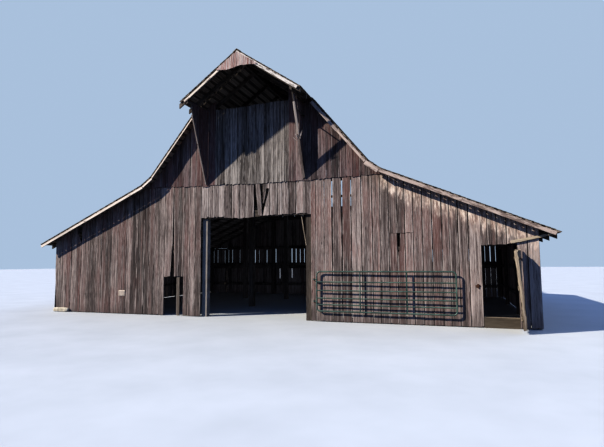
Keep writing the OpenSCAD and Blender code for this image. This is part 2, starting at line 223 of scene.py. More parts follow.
# ---------------------------------------------------------------- materials
class Mat:
    def __init__(self, name, rough=.85, metallic=0., spec=None):
        self.m = bpy.data.materials.new(name); self.m.use_nodes = True
        self.nt = self.m.node_tree; self.nt.nodes.clear()
        self.out = self.nt.nodes.new("ShaderNodeOutputMaterial")
        self.b = self.nt.nodes.new("ShaderNodeBsdfPrincipled")
        self.b.inputs["Roughness"].default_value = rough
        self.b.inputs["Metallic"].default_value = metallic
        if spec is not None:
            self.b.inputs["Specular IOR Level"].default_value = spec
        self.nt.links.new(self.b.outputs[0], self.out.inputs[0])

    def n(self, kind): return self.nt.nodes.new(kind)

    def put(self, socket, x):
        if hasattr(x, "is_output"):
            self.nt.links.new(x, socket)
        else:
            socket.default_value = x

    def attr(self, name):
        a = self.n("ShaderNodeAttribute"); a.attribute_name = name
        return a.outputs["Vector"]

    def obj(self): return self.n("ShaderNodeTexCoord").outputs["Object"]

    def xyz(self, v):
        s = self.n("ShaderNodeSeparateXYZ"); self.put(s.inputs[0], v)
        return s.outputs[0], s.outputs[1], s.outputs[2]

    def map(self, v, scale=(1, 1, 1), loc=(0, 0, 0), rot=(0, 0, 0)):
        m = self.n("ShaderNodeMapping"); self.put(m.inputs["Vector"], v)
        m.inputs["Scale"].default_value = scale; m.inputs["Location"].default_value = loc; m.inputs["Rotation"].default_value = rot
        return m.outputs[0]

    def noise(self, v, scale=1., detail=4., rough=.6, dist=0.):
        t = self.n("ShaderNodeTexNoise"); self.put(t.inputs["Vector"], v)
        t.inputs["Scale"].default_value = scale; t.inputs["Detail"].default_value = detail
        t.inputs["Roughness"].default_value = rough; t.inputs["Distortion"].default_value = dist
        return t.outputs["Fac"]

    def vor(self, v, scale=1.):
        t = self.n("ShaderNodeTexVoronoi"); self.put(t.inputs["Vector"], v); t.inputs["Scale"].default_value = scale
        return t.outputs["Distance"]

    def f(self, op, a, b=0., c=0., clamp=False):
        m = self.n("ShaderNodeMath"); m.operation = op; m.use_clamp = clamp
        self.put(m.inputs[0], a); self.put(m.inputs[1], b); self.put(m.inputs[2], c)
        return m.outputs[0]

    def sm(self, v, lo, hi, a=0., b=1.):
        m = self.n("ShaderNodeMapRange"); m.interpolation_type = "SMOOTHSTEP"
        self.put(m.inputs["Value"], v); self.put(m.inputs["From Min"], lo); self.put(m.inputs["From Max"], hi)
        self.put(m.inputs["To Min"], a); self.put(m.inputs["To Max"], b)
        return m.outputs[0]

    def ramp(self, v, *stops):
        r = self.n("ShaderNodeValToRGB"); self.put(r.inputs[0], v)
        el = r.color_ramp.elements
        while len(el) < len(stops):
            el.new(.5)
        for e, (p, c) in zip(el, stops):
            e.position = p; e.color = (*c, 1)
        return r.outputs[0]

    def mix(self, fac, a, b, mode="MIX"):
        m = self.n("ShaderNodeMix"); m.data_type = "RGBA"; m.blend_type = mode
        self.put(m.inputs["Factor"], fac)
        for sock, x in ((m.inputs[6], a), (m.inputs[7], b)):
            self.put(sock, (*x, 1) if isinstance(x, tuple) else x)
        return m.outputs[2]

    def color(self, c): self.put(self.b.inputs["Base Color"], c)
    def rough(self, r): self.put(self.b.inputs["Roughness"], r)

    def bump(self, h, strength=.5, dist=.004):
        b = self.n("ShaderNodeBump"); b.inputs["Strength"].default_value = strength; b.inputs["Distance"].default_value = dist
        self.put(b.inputs["Height"], h); self.nt.links.new(b.outputs[0], self.b.inputs["Normal"])


def lin(r, g, b):
    """sRGB 0-255 to linear"""
    return tuple(((c / 255) / 12.92 if c <= 10 else ((c / 255 + .055) / 1.055) ** 2.4) for c in (r, g, b))


def wood(name, dark, mid, light, red=.0, redcol=None, white=.3, bleach=0., foot=.5, grain=1., local=None, streak=1.):
    """Weathered boards: grey grain, what is left of red paint, old white streaks, drying cracks and knots.
    local is the grain's direction for a timber without its own board coordinates: a scale for object space."""
    m = Mat(name, .9, spec=.25)
    pos = m.obj()
    if local is None:
        g = m.attr("gco"); tl, tr, tw = m.xyz(m.attr("tone")); bs, bt, bl = m.xyz(m.attr("st"))
    else:
        g = m.map(pos, local[0], rot=local[1] if len(local) > 1 else (0, 0, 0)); tl = tr = tw = 0.; bs = None
    x, y, z = m.xyz(pos)
    fine = m.noise(m.map(g, (95, 3.5, 3)), detail=5, rough=.68)
    med = m.noise(m.map(g, (27, .42, 3), (3, 7, 1)), detail=5, rough=.70, dist=.12)
    wide = m.noise(m.map(g, (10, .28, 3), (9, 2, 4)), detail=4, rough=.62)
    broad = m.noise(m.map(pos, (.85, .85, .5)), detail=3, rough=.6)
    k = m.f("MULTIPLY_ADD", fine, .42 * grain, m.f("MULTIPLY_ADD", med, .44 * streak, m.f("MULTIPLY", wide, .26)))
    k = m.f("ADD", k, m.f("MULTIPLY_ADD", broad, .12, m.f("MULTIPLY", tl, .085)))
    c = m.ramp(m.sm(k, .46, .77), (0., dark), (.5, mid), (1., light))
    if red > 0:
        rm = m.f("MULTIPLY_ADD", wide, .55, m.f("MULTIPLY_ADD", broad, .75, m.f("MULTIPLY", tr, .13)))
        rm = m.f("ADD", rm, m.f("MULTIPLY", med, .35))
        rm = m.sm(rm, 1.02 - .32 * red, 1.30 - .32 * red)
        worn = m.sm(fine, .62, .45)
        rc = m.ramp(k, (.38, tuple(v * .45 for v in redcol)), (.6, redcol), (.85, tuple(min(1, v * 1.6 + .03) for v in redcol)))
        c = m.mix(m.f("MULTIPLY", rm, m.f("MULTIPLY_ADD", worn, .5, .30)), c, rc)
    if bleach > 0:
        # pale, peeling band under the right lean-to's eave
        e = m.f("SUBTRACT", m.f("MULTIPLY_ADD", m.f("SUBTRACT", x, 4.41), -.436, 4.70), z)
        e = m.f("ADD", e, m.f("MULTIPLY_ADD", m.noise(m.map(g, (9, 2.2, 3), (1, 1, 8)), detail=4, rough=.65), -1.5, .80))
        e = m.f("ADD", e, m.f("MULTIPLY", tl, -.10))
        bm = m.f("MULTIPLY", m.sm(e, .80, .40), m.sm(x, 4.2, 4.6))
        blot = m.sm(m.noise(m.map(g, (13, 5, 3), (4, 4, 4)), detail=4, rough=.7), .60, .44)
        bc = m.ramp(m.noise(m.map(g, (16, 3, 3), (2, 5, 4)), detail=3), (.35, lin(132, 112, 104)), (.5, lin(190, 170, 158)), (.68, lin(230, 218, 206)))
        c = m.mix(m.f("MULTIPLY", bm, m.f("MULTIPLY_ADD", blot, .62, .36)), c, bc)
    ws = m.noise(m.map(g, (34, .32, 3), (5, 5, 5)), detail=2, rough=.5)
    wm = m.f("MULTIPLY", m.sm(ws, .55, .68), m.f("MULTIPLY_ADD", tw, .5, white, clamp=True))
    c = m.mix(m.f("MULTIPLY", wm, .75), c, m.ramp(fine, (.3, lin(150, 142, 136)), (.7, lin(214, 206, 198))))
    ck = m.sm(m.noise(m.map(g, (130, 1.2, 3), (2, 2, 2)), detail=2, rough=.5), .36, .27)
    ck2 = m.sm(m.noise(m.map(g, (46, .7, 3), (8, 2, 3)), detail=3, rough=.5), .34, .27)
    dk = m.f("MAXIMUM", m.f("MULTIPLY", ck, .7), m.f("MULTIPLY", ck2, .8))
    kn = m.sm(m.vor(m.map(g, (4.2, 1.15, 3), (3, 1, 2))), .085, .045)
    dk = m.f("MAXIMUM", dk, m.f("MULTIPLY", kn, .8))
    c = m.mix(dk, c, tuple(v * .16 for v in mid))
    if bs is not None:
        ed = m.f("ABSOLUTE", m.f("SUBTRACT", bs, .5))
        ea = m.noise(m.map(g, (2, 1.3, 3), (6, 6, 2)), detail=3)
        c = m.mix(m.f("MULTIPLY", m.f("MULTIPLY", m.sm(ed, .36, .44), m.sm(ea, .42, .62)), .8), c, tuple(v * 1.15 for v in light))
        # dark band along both edges of each board: painted shade beside the gaps between boards, partly dirt in the
        # joints
        c = m.mix(m.f("MULTIPLY", m.sm(ed, .452, .488), .85), c, tuple(v * .18 for v in mid))
    if foot > 0:
        ft = m.sm(m.f("MULTIPLY_ADD", broad, .5, m.f("MULTIPLY_ADD", wide, .7, z)), 1.15, .55)
        c = m.mix(m.f("MULTIPLY", ft, foot), c, tuple(v * .55 for v in mid))
    if name == "timber_upright":    # the weathered pale post inside the doorway's left jamb
        sp = m.f("MULTIPLY", m.f("MULTIPLY", m.sm(x, -1.76, -1.82), m.sm(x, -2.4, -2.3)), m.sm(y, -4.9, -5.1))
        c = m.mix(m.f("MULTIPLY", sp, .8), c, m.ramp(fine, (.3, lin(112, 104, 98)), (.7, lin(180, 172, 164))))
    m.color(c)
    m.rough(m.sm(fine, .3, .7, .98, .80))
    h = m.f("SUBTRACT", m.f("MULTIPLY_ADD", fine, .8, m.f("MULTIPLY", med, .6)), m.f("MULTIPLY", dk, .9))
    m.bump(h, .55, .005)
    return m.m


RED = lin(122, 66, 58)
red_left = wood("weathered_red_left", lin(38, 32, 31), lin(100, 88, 84), lin(174, 161, 154), red=.65, redcol=lin(100, 70, 66), white=.22)
red_right = wood("weathered_red_right", lin(46, 38, 37), lin(110, 98, 94), lin(180, 167, 160), red=.7, redcol=lin(112, 80, 74), white=.22, bleach=1.)
red_gable = wood("red_gable", lin(30, 25, 26), lin(76, 65, 66), lin(148, 135, 133), red=.85, redcol=lin(88, 56, 54), white=.2, foot=0)
red_peak = wood("red_peak", lin(76, 54, 50), lin(158, 136, 130), lin(236, 228, 222), red=1.1, redcol=lin(124, 80, 72), white=.85, foot=0)
grey_hay = wood("grey_hay", lin(30, 27, 27), lin(86, 79, 76), lin(172, 164, 158), red=.1, redcol=lin(100, 78, 74), white=.35, foot=0)
grey_head = wood("grey_header", lin(40, 34, 33), lin(102, 91, 88), lin(176, 165, 159), red=.4, redcol=lin(112, 84, 78), white=.22, foot=0)
grey_strut = wood("grey_strut", lin(74, 62, 56), lin(146, 130, 120), lin(212, 198, 186), red=.2, redcol=lin(104, 76, 70), white=.1, foot=0)
grey_leaf = wood("grey_leaf", lin(60, 52, 45), lin(122, 109, 96), lin(182, 168, 148), white=.15, foot=.35)
tim = dict(dark=lin(36, 31, 28), mid=lin(72, 64, 58), light=lin(112, 102, 94), white=.02, foot=0)
timber_z = wood("timber_upright", local=((1, 1, 1), (math.pi / 2, 0, 0)), **tim)
timber_y = wood("timber_long", local=((1, 1, 1),), **tim)
timber_x = wood("timber_cross", local=((1, 1, 1), (0, 0, math.pi / 2)), **tim)
timber_b = wood("timber_boards", **tim)
grey_post = wood("grey_post", dark=lin(50, 44, 40), mid=lin(98, 88, 80), light=lin(146, 135, 124), white=.1, foot=.2)


def peeling(name, paint, wood_mid, cover=.6, dirt=.3):
    """Rake boards: cream paint that cracks off along the grain."""
    m = Mat(name, .75, spec=.3)
    g = m.attr("gco"); tl, tr, tw = m.xyz(m.attr("tone"))
    fine = m.noise(m.map(g, (95, 3.5, 3)), detail=5, rough=.68)
    med = m.noise(m.map(g, (26, 1.5, 3), (3, 7, 1)), detail=4, rough=.62)
    pat = m.noise(m.map(g, (12, 2.2, 3), (1, 3, 6)), detail=5, rough=.7)
    w = m.ramp(m.f("MULTIPLY_ADD", fine, .6, m.f("MULTIPLY", med, .5)), (.3, tuple(v * .35 for v in wood_mid)), (.55, wood_mid), (.8, tuple(min(1, v * 1.7) for v in wood_mid)))
    p = m.ramp(m.f("MULTIPLY_ADD", med, .7, m.f("MULTIPLY", fine, .3)), (.3, tuple(v * .72 for v in paint)), (.6, paint), (.85, tuple(min(1, v * 1.12) for v in paint)))
    mk = m.f("ADD", m.f("MULTIPLY_ADD", pat, .8, m.f("MULTIPLY", fine, .3)), m.f("MULTIPLY", tl, .06))
    mask = m.sm(mk, .72 - cover * .3, .66 - cover * .3, 0., 1.)
    c = m.mix(m.f("SUBTRACT", 1., mask), w, p)
    rust = m.sm(m.vor(m.map(g, (7, 1.6, 3), (3, 1, 2))), .07, .03)
    c = m.mix(m.f("MULTIPLY", rust, .7), c, lin(70, 52, 42))
    dt = m.sm(m.noise(m.map(g, (5, .8, 3), (7, 7, 7)), detail=3), .5, .7)
    c = m.mix(m.f("MULTIPLY", dt, dirt), c, lin(92, 84, 74))
    m.color(c)
    m.rough(m.sm(mask, 0., 1., .62, .92))
    m.bump(m.f("SUBTRACT", m.f("MULTIPLY", fine, .4), m.f("MULTIPLY", mask, .5)), .5, .003)
    return m.m


cream = peeling("cream_rake", lin(222, 208, 194), lin(128, 114, 104), cover=.85, dirt=.25)
grey_cream = peeling("grey_cream_rake", lin(186, 169, 158), lin(126, 110, 102), cover=.5, dirt=.4)
rake_grey = wood("rake_grey", lin(58, 50, 47), lin(112, 99, 94), lin(172, 158, 150), white=.15, foot=0)
hood_white = peeling("hood_white_rake", lin(214, 206, 198), lin(112, 102, 96), cover=.62, dirt=.5)


def shingle_mat():
    m = Mat("roof_shingles", .92, spec=.2)
    g = m.attr("gco"); tl, tr, tw = m.xyz(m.attr("tone")); s, t, q = m.xyz(m.attr("st"))
    pos = m.obj()
    fine = m.noise(m.map(g, (160, 9, 3)), detail=4, rough=.65)
    med = m.noise(m.map(g, (50, 4, 3), (3, 1, 1)), detail=3, rough=.6)
    broad = m.noise(m.map(pos, (.7, .35, .7)), detail=4, rough=.6)
    k = m.f("ADD", m.f("MULTIPLY_ADD", fine, .35, m.f("MULTIPLY", med, .35)), m.f("MULTIPLY_ADD", broad, .35, m.f("MULTIPLY", tl, .09)))
    c = m.ramp(k, (.3, lin(34, 31, 29)), (.52, lin(84, 77, 71)), (.68, lin(122, 113, 104)), (.85, lin(160, 150, 140)))
    br = m.sm(m.noise(m.map(pos, (1.1, .6, 1.1), (4, 2, 1)), detail=3), .52, .68)
    c = m.mix(m.f("MULTIPLY", br, .45), c, lin(92, 70, 52))
    moss = m.f("MULTIPLY", m.sm(m.noise(m.map(pos, (2.2, 1.6, 2.2), (9, 9, 1)), detail=5, rough=.75), .60, .70), m.sm(t, .55, .05))
    c = m.mix(m.f("MULTIPLY", moss, .55), c, lin(74, 80, 48))
    c = m.mix(m.f("MULTIPLY", m.sm(t, .10, .0), .45), c, lin(30, 27, 25))
    ck = m.sm(m.noise(m.map(g, (90, 2.0, 3), (2, 2, 2)), detail=2), .36, .28)
    c = m.mix(m.f("MULTIPLY", ck, .7), c, lin(22, 20, 19))
    m.color(c); m.rough(m.sm(fine, .3, .7, .98, .82))
    m.bump(m.f("SUBTRACT", m.f("MULTIPLY_ADD", fine, .6, m.f("MULTIPLY", med, .5)), m.f("MULTIPLY", ck, .6)), .5, .004)
    return m.m


shingles = shingle_mat()
roof_under = wood("roof_under", lin(30, 27, 25), lin(58, 52, 48), lin(92, 84, 78), white=0, foot=0)
roof_lath = wood("roof_lath", lin(60, 52, 46), lin(116, 104, 94), lin(160, 148, 136), white=.05, foot=0)


def tube_mat():
    m = Mat("green_tube", .5, 0., spec=.45)
    pos = m.obj(); x, y, z = m.xyz(pos)
    n1 = m.noise(m.map(pos, (9, 9, 9)), detail=6, rough=.7)
    n2 = m.noise(m.map(pos, (60, 60, 60), (3, 3, 3)), detail=4, rough=.6)
    c = m.ramp(m.f("MULTIPLY_ADD", n1, .7, m.f("MULTIPLY", n2, .3)), (.3, lin(20, 36, 33)), (.5, lin(46, 69, 62)), (.7, lin(88, 112, 103)))
    fade = m.sm(m.noise(m.map(pos, (1.6, 1.6, 2.5), (8, 1, 2)), detail=3), .45, .7)
    c = m.mix(m.f("MULTIPLY", fade, .45), c, lin(112, 132, 118))
    chip = m.sm(m.f("MULTIPLY_ADD", n1, .7, m.f("MULTIPLY", n2, .45)), .70, .76)
    rust = m.ramp(n2, (.35, lin(58, 36, 26)), (.65, lin(126, 78, 50)))
    c = m.mix(chip, c, rust)
    m.color(c); m.rough(m.f("MULTIPLY_ADD", chip, .3, m.f("MULTIPLY_ADD", n2, .25, .32)))
    m.bump(m.f("SUBTRACT", m.f("MULTIPLY", n2, .3), m.f("MULTIPLY", chip, .5)), .35, .0015)
    return m.m


def iron_mat():
    m = Mat("rusty_iron", .8, .35, spec=.4)
    pos = m.obj()
    n1 = m.noise(m.map(pos, (45, 45, 45)), detail=6, rough=.7)
    n2 = m.noise(m.map(pos, (160, 160, 160), (1, 5, 2)), detail=4)
    c = m.ramp(m.f("MULTIPLY_ADD", n1, .7, m.f("MULTIPLY", n2, .3)), (.3, lin(34, 26, 22)), (.5, lin(74, 48, 34)), (.7, lin(124, 78, 50)))
    m.color(c); m.rough(m.sm(n1, .3, .7, .6, .95)); m.bump(n2, .5, .001)
    return m.m


def plate_mat():
    m = Mat("blank_plate", .55, .2)
    pos = m.obj(); g = m.map(pos, (1, 1, 1))
    n1 = m.noise(m.map(g, (9, 9, 4)), detail=6, rough=.7)
    n2 = m.noise(m.map(g, (60, 60, 60), (3, 1, 1)), detail=4)
    c = m.ramp(m.f("MULTIPLY_ADD", n1, .6, m.f("MULTIPLY", n2, .4)), (.36, lin(96, 84, 76)), (.5, lin(160, 147, 136)), (.66, lin(190, 180, 170)))
    chip = m.sm(m.f("MULTIPLY_ADD", n1, .8, m.f("MULTIPLY", n2, .3)), .66, .74)
    c = m.mix(chip, c, lin(112, 72, 50))
    m.color(c); m.rough(m.sm(n1, .3, .7, .45, .8)); m.bump(n2, .3, .001)
    return m.m


def stone_mat():
    m = Mat("footing_stone", .92, spec=.25)
    pos = m.obj()
    n1 = m.noise(m.map(pos, (6, 6, 9)), detail=8, rough=.7)
    n2 = m.noise(m.map(pos, (40, 40, 60), (3, 3, 3)), detail=5, rough=.65)
    c = m.ramp(m.f("MULTIPLY_ADD", n1, .65, m.f("MULTIPLY", n2, .35)), (.3, lin(120, 110, 96)), (.5, lin(186, 176, 158)), (.72, lin(224, 216, 200)))
    lich = m.sm(m.noise(m.map(pos, (14, 14, 14), (7, 2, 1)), detail=5, rough=.7), .58, .66)
    c = m.mix(m.f("MULTIPLY", lich, .6), c, lin(96, 92, 78))
    m.color(c); m.bump(m.f("MULTIPLY_ADD", n1, .7, m.f("MULTIPLY", n2, .4)), .7, .012)
    return m.m


green, iron, plate_m, stone = tube_mat(), iron_mat(), plate_mat(), stone_mat()


def paint_node(name, mat):
    ob = nodes[name]
    if not ob.data.materials:
        ob.data.materials.append(mat)
    for s in ob.material_slots:
        s.material = mat


for nm in ("aisle_posts", "main_posts", "side_posts"):
    paint_node(nm, timber_z)
for nm in ("plates", "ridge_board", "side_girts"):
    paint_node(nm, timber_y)
for nm in ("front_girts", "rear_girts", "tie_beams", "upper_rafters", "steep_rafters", "lean_rafters"):
    paint_node(nm, timber_x)
for nm in ("gate", "gate_eyes"):
    paint_node(nm, green)
for nm in ("hinge_hooks",):
    paint_node(nm, iron)

# ---------------------------------------------------------------- nails
nail = Build()


def nails(pl, pts, r=.0055, h=.0035, d=0.):
    """Domed nail heads on a plane, at points in its own axes."""
    O, AX, AZ, N = pl
    a = np.arange(4) * math.pi / 2 + .5
    for (px, pz) in pts:
        c = O + px * AX + pz * AZ + d * N
        base = c + r * (np.cos(a)[:, None] * AX + np.sin(a)[:, None] * AZ)
        topv = c + h * N + .55 * r * (np.cos(a)[:, None] * AX + np.sin(a)[:, None] * AZ)
        v = np.concatenate([base, topv])
        f = [[4, 5, 6, 7]] + [[i, (i + 1) % 4, (i + 1) % 4 + 4, i + 4] for i in range(4)] + [[3, 2, 1, 0]]
        f = np.array(f)
        if np.dot(np.cross(AX, AZ), N) < 0:
            f = f[:, ::-1]
        nail.add(v, f, v * 0 + .5, A(0, 0, 0), v * 0)


def nail_rows(pl, joints, zs, top, bot=0., d=.001):
    pts = []
    for i in range(len(joints) - 1):
        for z in zs:
            for s in (.2, .8):
                x = joints[i] + (joints[i + 1] - joints[i]) * s
                if bot < z < top(x) - .08:
                    pts.append((x + RNG.normal(0, .01), z + RNG.normal(0, .015)))
    nails(pl, pts, d=d)


# ---------------------------------------------------------------- front wall, lower boarding
LOW = 4.70
def low_top(x): return min(LOW, under(x) - .004) if abs(x) > 4.46 else LOW
def ground(x): return RNG.uniform(.002, .016)


J_left = [-8.82, -8.58, -8.27, -8.01, -7.75, -7.50, -7.16, -6.99, -6.78, -6.50, -6.28, -6.03, -5.75, -5.51, -5.33, -5.11, -4.87, -4.50, -4.28, -4.06, -3.83, -3.61]
B = Build()
for i in range(len(J_left) - 1):
    g0 = {9: .022, 17: .016, 13: .014, 5: .01}.get(i, RNG.uniform(.005, .013)) if i else 0
    g1 = {9: .022, 17: .016, 13: .014, 5: .01}.get(i + 1, RNG.uniform(.005, .013)) if i < len(J_left) - 2 else 0
    x0, x1 = J_left[i] + g0 / 2, J_left[i + 1] - g1 / 2
    mid = (x0 + x1) / 2
    rr = .9 if -6.4 < mid < -5.0 or -8.3 < mid < -7.0 else .1
    kw = dict(tn=tone(0, rr), rag=(.02, .004), bow=RNG.normal(0, .003), twist=RNG.normal(0, .003), curl=(abs(RNG.normal(0, .006)), .002), d=-RNG.uniform(0, .005))
    if i == 4:      # the board right of the triangular hole keeps its full height, the left one is broken off at a slant
        board(B, FRONT, None, shape=[(.01, x0, x1), (2.70, x0, x1), (2.76, x0, x1 - .03), (3.10, x0, x0 + .03), (3.16, x0, x0 + .022), (low_top(x0 + .03), x0, x0 + .035)], **{**kw, "rag": (.01, .003)})
    elif i == 8:    # a board that has slipped down and stands proud of the wall, its foot split away
        board(B, FRONT, None, shape=[(.01, x0 + .006, x1 - .002), (2.55, x0, x1), (2.63, x0 - .010, x1 - .016), (low_top(x1), x0, x1 + .002)], **kw)
    elif i == 0:
        board(B, FRONT, None, shape=[(.012, -8.69, x1), (.4, -8.71, x1), (.84, -8.75, x1), (1.3, -8.80, x1), (1.7, x0, x1), (low_top(x0), x0, x1)], **kw)
        board(B, FRONT, [(x0, low_top(x0)), (x1, low_top(x0)), (x1, low_top(x1)), (x0, low_top(x0) + .002)], **{**kw, "rag": (0, .002), "nr": 2})
    else:
        board(B, FRONT, [(x0, ground(0)), (x1, ground(0)), (x1, low_top(x1)), (x0, low_top(x0))], **kw)
nail_rows(FRONT, J_left, (.955, 2.305, 3.56), low_top)
B.make("front_boards_left", [red_left], replaces="front_wall_left", slot="weathered_red_boards")

# over the low stock door: a long wedge is missing above its left part; over the side door: short bleached boards
B = Build()
z0 = 1.41
board(B, FRONT, None, shape=[(z0, -3.605, -3.35), (2.62, -3.602, -3.262), (LOW, -3.605, -3.245)], tn=tone(.1, .5), rag=(.015, .003))
board(B, FRONT, [(-3.178, z0 + .01), (-3.022, z0), (-3.022, LOW), (-3.235, LOW)], tn=tone(.0, .1), rag=(.02, .004))
board(B, FRONT, [(-3.012, z0), (-2.80, z0), (-2.796, LOW), (-3.012, LOW)], tn=tone(.0, .5), rag=(.01, .004))
J_side = [7.25, 7.42, 7.67, 7.93, 8.19]
for i in range(4):
    x0, x1 = J_side[i] + (.006 if i else 0), J_side[i + 1] - (.007 if i < 3 else 0)
    board(B, FRONT, [(x0, 2.37), (x1, 2.37), (x1, low_top(x1)), (x0, low_top(x0))], tn=tone(.1, .1), rag=(.012, .003), mat=1, bow=RNG.normal(0, .003))
nail_rows(FRONT, [-3.61, -3.26, -3.02, -2.79], (2.305, 3.56, 4.6), low_top, bot=1.5)
nail_rows(FRONT, J_side, (2.45,), low_top, bot=2.38)
B.make("boards_over_doors", [red_left, red_right], replaces="front_over_doors", slot="weathered_red_boards")

B = Build()
J_jamb = [-2.79, -2.54, -2.31, -2.07]
wall(B, FRONT, J_jamb, ground, lambda x: LOW, gaps={1: .014, 2: .008}, tn=(-.1, .2), rag=(.015, .004))
nail_rows(FRONT, J_jamb, (1.05, 2.305, 3.56, 4.6), low_top)
B.make("front_boards_jamb", [red_left], replaces="front_wall_jamb", slot="weathered_red_boards")

# header over the main doorway, with its sagging, uneven lower edge
hx = [-2.07, -1.43, -.83, -.35, .01, .28, .64, .89, 1.45, 1.81, 2.07]
hz = [3.50, 3.52, 3.455, 3.44, 3.455, 3.475, 3.49, 3.505, 3.515, 3.52, 3.475]
def head(x): return float(np.interp(x, hx, hz))
J_head = [-2.07, -1.77, -1.53, -1.37, -1.15, -.86, -.53, -.29, .005]
J_head2 = [.60, .88, 1.05, 1.29, 1.54, 1.81, 2.07]
B = Build()
wall(B, FRONT, J_head, head, lambda x: LOW, gap=(.005, .011), gaps={6: .024, 7: .014, 5: .02}, tn=(.1, .0), rag=(.012, .003), d=(0, .006))
wall(B, FRONT, J_head2, head, lambda x: LOW, gap=(.006, .012), gaps={1: .020, 2: .012, 4: .016}, tn=(.1, .1), rag=(.012, .003), d=(0, .006))
nail_rows(FRONT, J_head, (3.57, 4.6), low_top, bot=3.5); nail_rows(FRONT, J_head2, (3.57, 4.6), low_top, bot=3.5)
B.make("header_boards", [grey_head], replaces="front_header_boards", slot="grey_boards")

# the slipped board that leans, the frayed shard and the broken board beside it
B = Build()
board(B, FRONT, [(.185, 3.50), (.325, 3.485), (.235, 4.69), (.055, 4.69)], tn=tone(-.2, .1), rag=(.015, .004), d=.012, curl=(.012, 0), edge=.006)
board(B, FRONT, [(.352, 3.93), (.375, 3.91), (.462, 4.33), (.345, 4.30)], tn=A(-.6, -1, .0), rag=(.02, 0), d=.0, nr=5)
board(B, FRONT, [(.345, 4.30), (.462, 4.33), (.470, 4.69), (.345, 4.69)], tn=A(-.6, -1, .0), rag=(0, .004), nr=3)
board(B, FRONT, [(.345, 3.475), (.592, 3.49), (.592, 3.80), (.415, 3.80)], tn=A(.5, .1, .2), rag=(.012, 0), nr=3, d=.006)
board(B, FRONT, [(.415, 3.80), (.592, 3.80), (.592, 4.34), (.575, 4.42)], tn=A(.5, .1, .2), rag=(0, .01), nr=5, d=.006, edge=.008)
board(B, FRONT, [(.48, 4.45), (.592, 4.40), (.592, 4.69), (.48, 4.69)], tn=A(.2, .2, .2), rag=(.02, 0), nr=3, d=0)
B.make("split_header_boards", [grey_head], replaces="split_boards", slot="grey_boards")

# right of the main doorway, with the small cut hatch
J_right = [2.07, 2.24, 2.53, 2.79, 3.12, 3.42, 3.75, 4.09, 4.34, 4.60, 4.86, 5.09, 5.34, 5.61, 5.89, 6.17, 6.38, 6.63, 6.91, 7.25]
gaps_r = [0, .010, .012, .042, .046, .024, .020, .016, .014, .016, .016, .018, .014, .018, .020, .022, .014, .018, .014, 0]
B = Build()
for i in range(len(J_right) - 1):
    x0, x1 = J_right[i] + gaps_r[i] / 2, J_right[i + 1] - gaps_r[i + 1] / 2
    kw = dict(tn=tone(.0, .5 if x0 < 6 else -.1, 0, .65), rag=(.02, .004), bow=RNG.normal(0, .003), twist=RNG.normal(0, .003), curl=(abs(RNG.normal(0, .006)), .002), d=-RNG.uniform(0, .005))
    if i in (9, 10, 11):      # the boards of a cut hatch, the middle one split away under the cut
        cut = 2.77
        board(B, FRONT, [(x0, cut + .007), (x1, cut + .005), (x1, low_top(x1)), (x0, low_top(x0))], **{**kw, "rag": (.004, .004)})
        if i == 10:
            board(B, FRONT, None, shape=[(.01, x0, x1), (2.17, x0, x1), (2.24, x0 + .05, x1), (2.70, x0 + .078, x1), (2.755, x0 + .085, x1)], **kw)
        else:
            board(B, FRONT, [(x0, ground(0)), (x1, ground(0)), (x1, cut - .006), (x0, cut - .004)], **kw)
    else:
        w0 = RNG.uniform(-.004, .002) - max(0, gaps_r[i] / 2 - .006) if i else 0          # the gaps close towards the ground
        w1 = RNG.uniform(-.004, .002) - max(0, gaps_r[i + 1] / 2 - .006) if i < len(J_right) - 2 else 0
        board(B, FRONT, [(x0 + w0, ground(0)), (x1 - w1, ground(0)), (x1, low_top(x1)), (x0, low_top(x0))], **kw)
nail_rows(FRONT, J_right, (1.055, 2.305, 3.56), low_top)
B.make("front_boards_right", [red_right], replaces="front_wall_right", slot="weathered_red_boards")

B = Build()
J_corner = [8.19, 8.46, 8.76]
wall(B, FRONT, J_corner, ground, low_top, gaps={1: .014}, tn=(.1, -.2), rag=(.02, .004))
B.make("front_boards_corner", [red_right], replaces="front_wall_corner", slot="weathered_red_boards")

# ---------------------------------------------------------------- gable boarding, lapping over the lower boards
lx = [-4.40, -3.44, -1.85, -.9, .0, .98, 1.95, 2.7, 3.44, 4.40]
lz = [4.70, 4.69, 4.645, 4.645, 4.62, 4.60, 4.605, 4.635, 4.63, 4.66]
GAB = plane((0, -MID, 0), (1, 0, 0), (0, 0, 1), (0, -1, 0))
def lap(x): return float(np.interp(x, lx, lz)) + RNG.normal(0, .012)
def gtop(x): return under(x) - .004


def gable_boards(B, joints, pl, d, lapf, tn=(0, .5), gap=(.005, .012), gaps=None, mat=0, rag=.012):
    g = RNG.uniform(*gap, len(joints))
    for k, w in (gaps or {}).items():
        g[k] = w
    for i in range(len(joints) - 1):
        x0, x1 = joints[i] + g[i] / 2, joints[i + 1] - g[i + 1] / 2
        kw = dict(tn=tone(*tn), d=d - .007 + RNG.uniform(-.002, .002), th=.016, mat=mat)
        cut = [b for b in (-4.0, -2.19, 2.19, 4.0) if x0 + .02 < b < x1 - .02]
        zb = lapf((x0 + x1) / 2)
        if gtop((x0 + x1) / 2) - zb < .05:
            continue
        ta, tb = gtop(x0), gtop(x1)
        if cut and abs(abs(cut[0]) - 2.19) < .01:   # a board across the upper break follows the lower of both slopes
            ta, tb = min(gtop(x0), r_st(x0)) - .002, min(gtop(x1), r_st(x1)) - .002
        board(B, pl, [(x0, zb + RNG.normal(0, .006)), (x1, zb + RNG.normal(0, .006)), (x1, max(tb, zb + .03)), (x0, max(ta, zb + .03))],
              rag=(rag, .003), bow=RNG.normal(0, .003), curl=(abs(RNG.normal(0, .002)), 0), **kw)


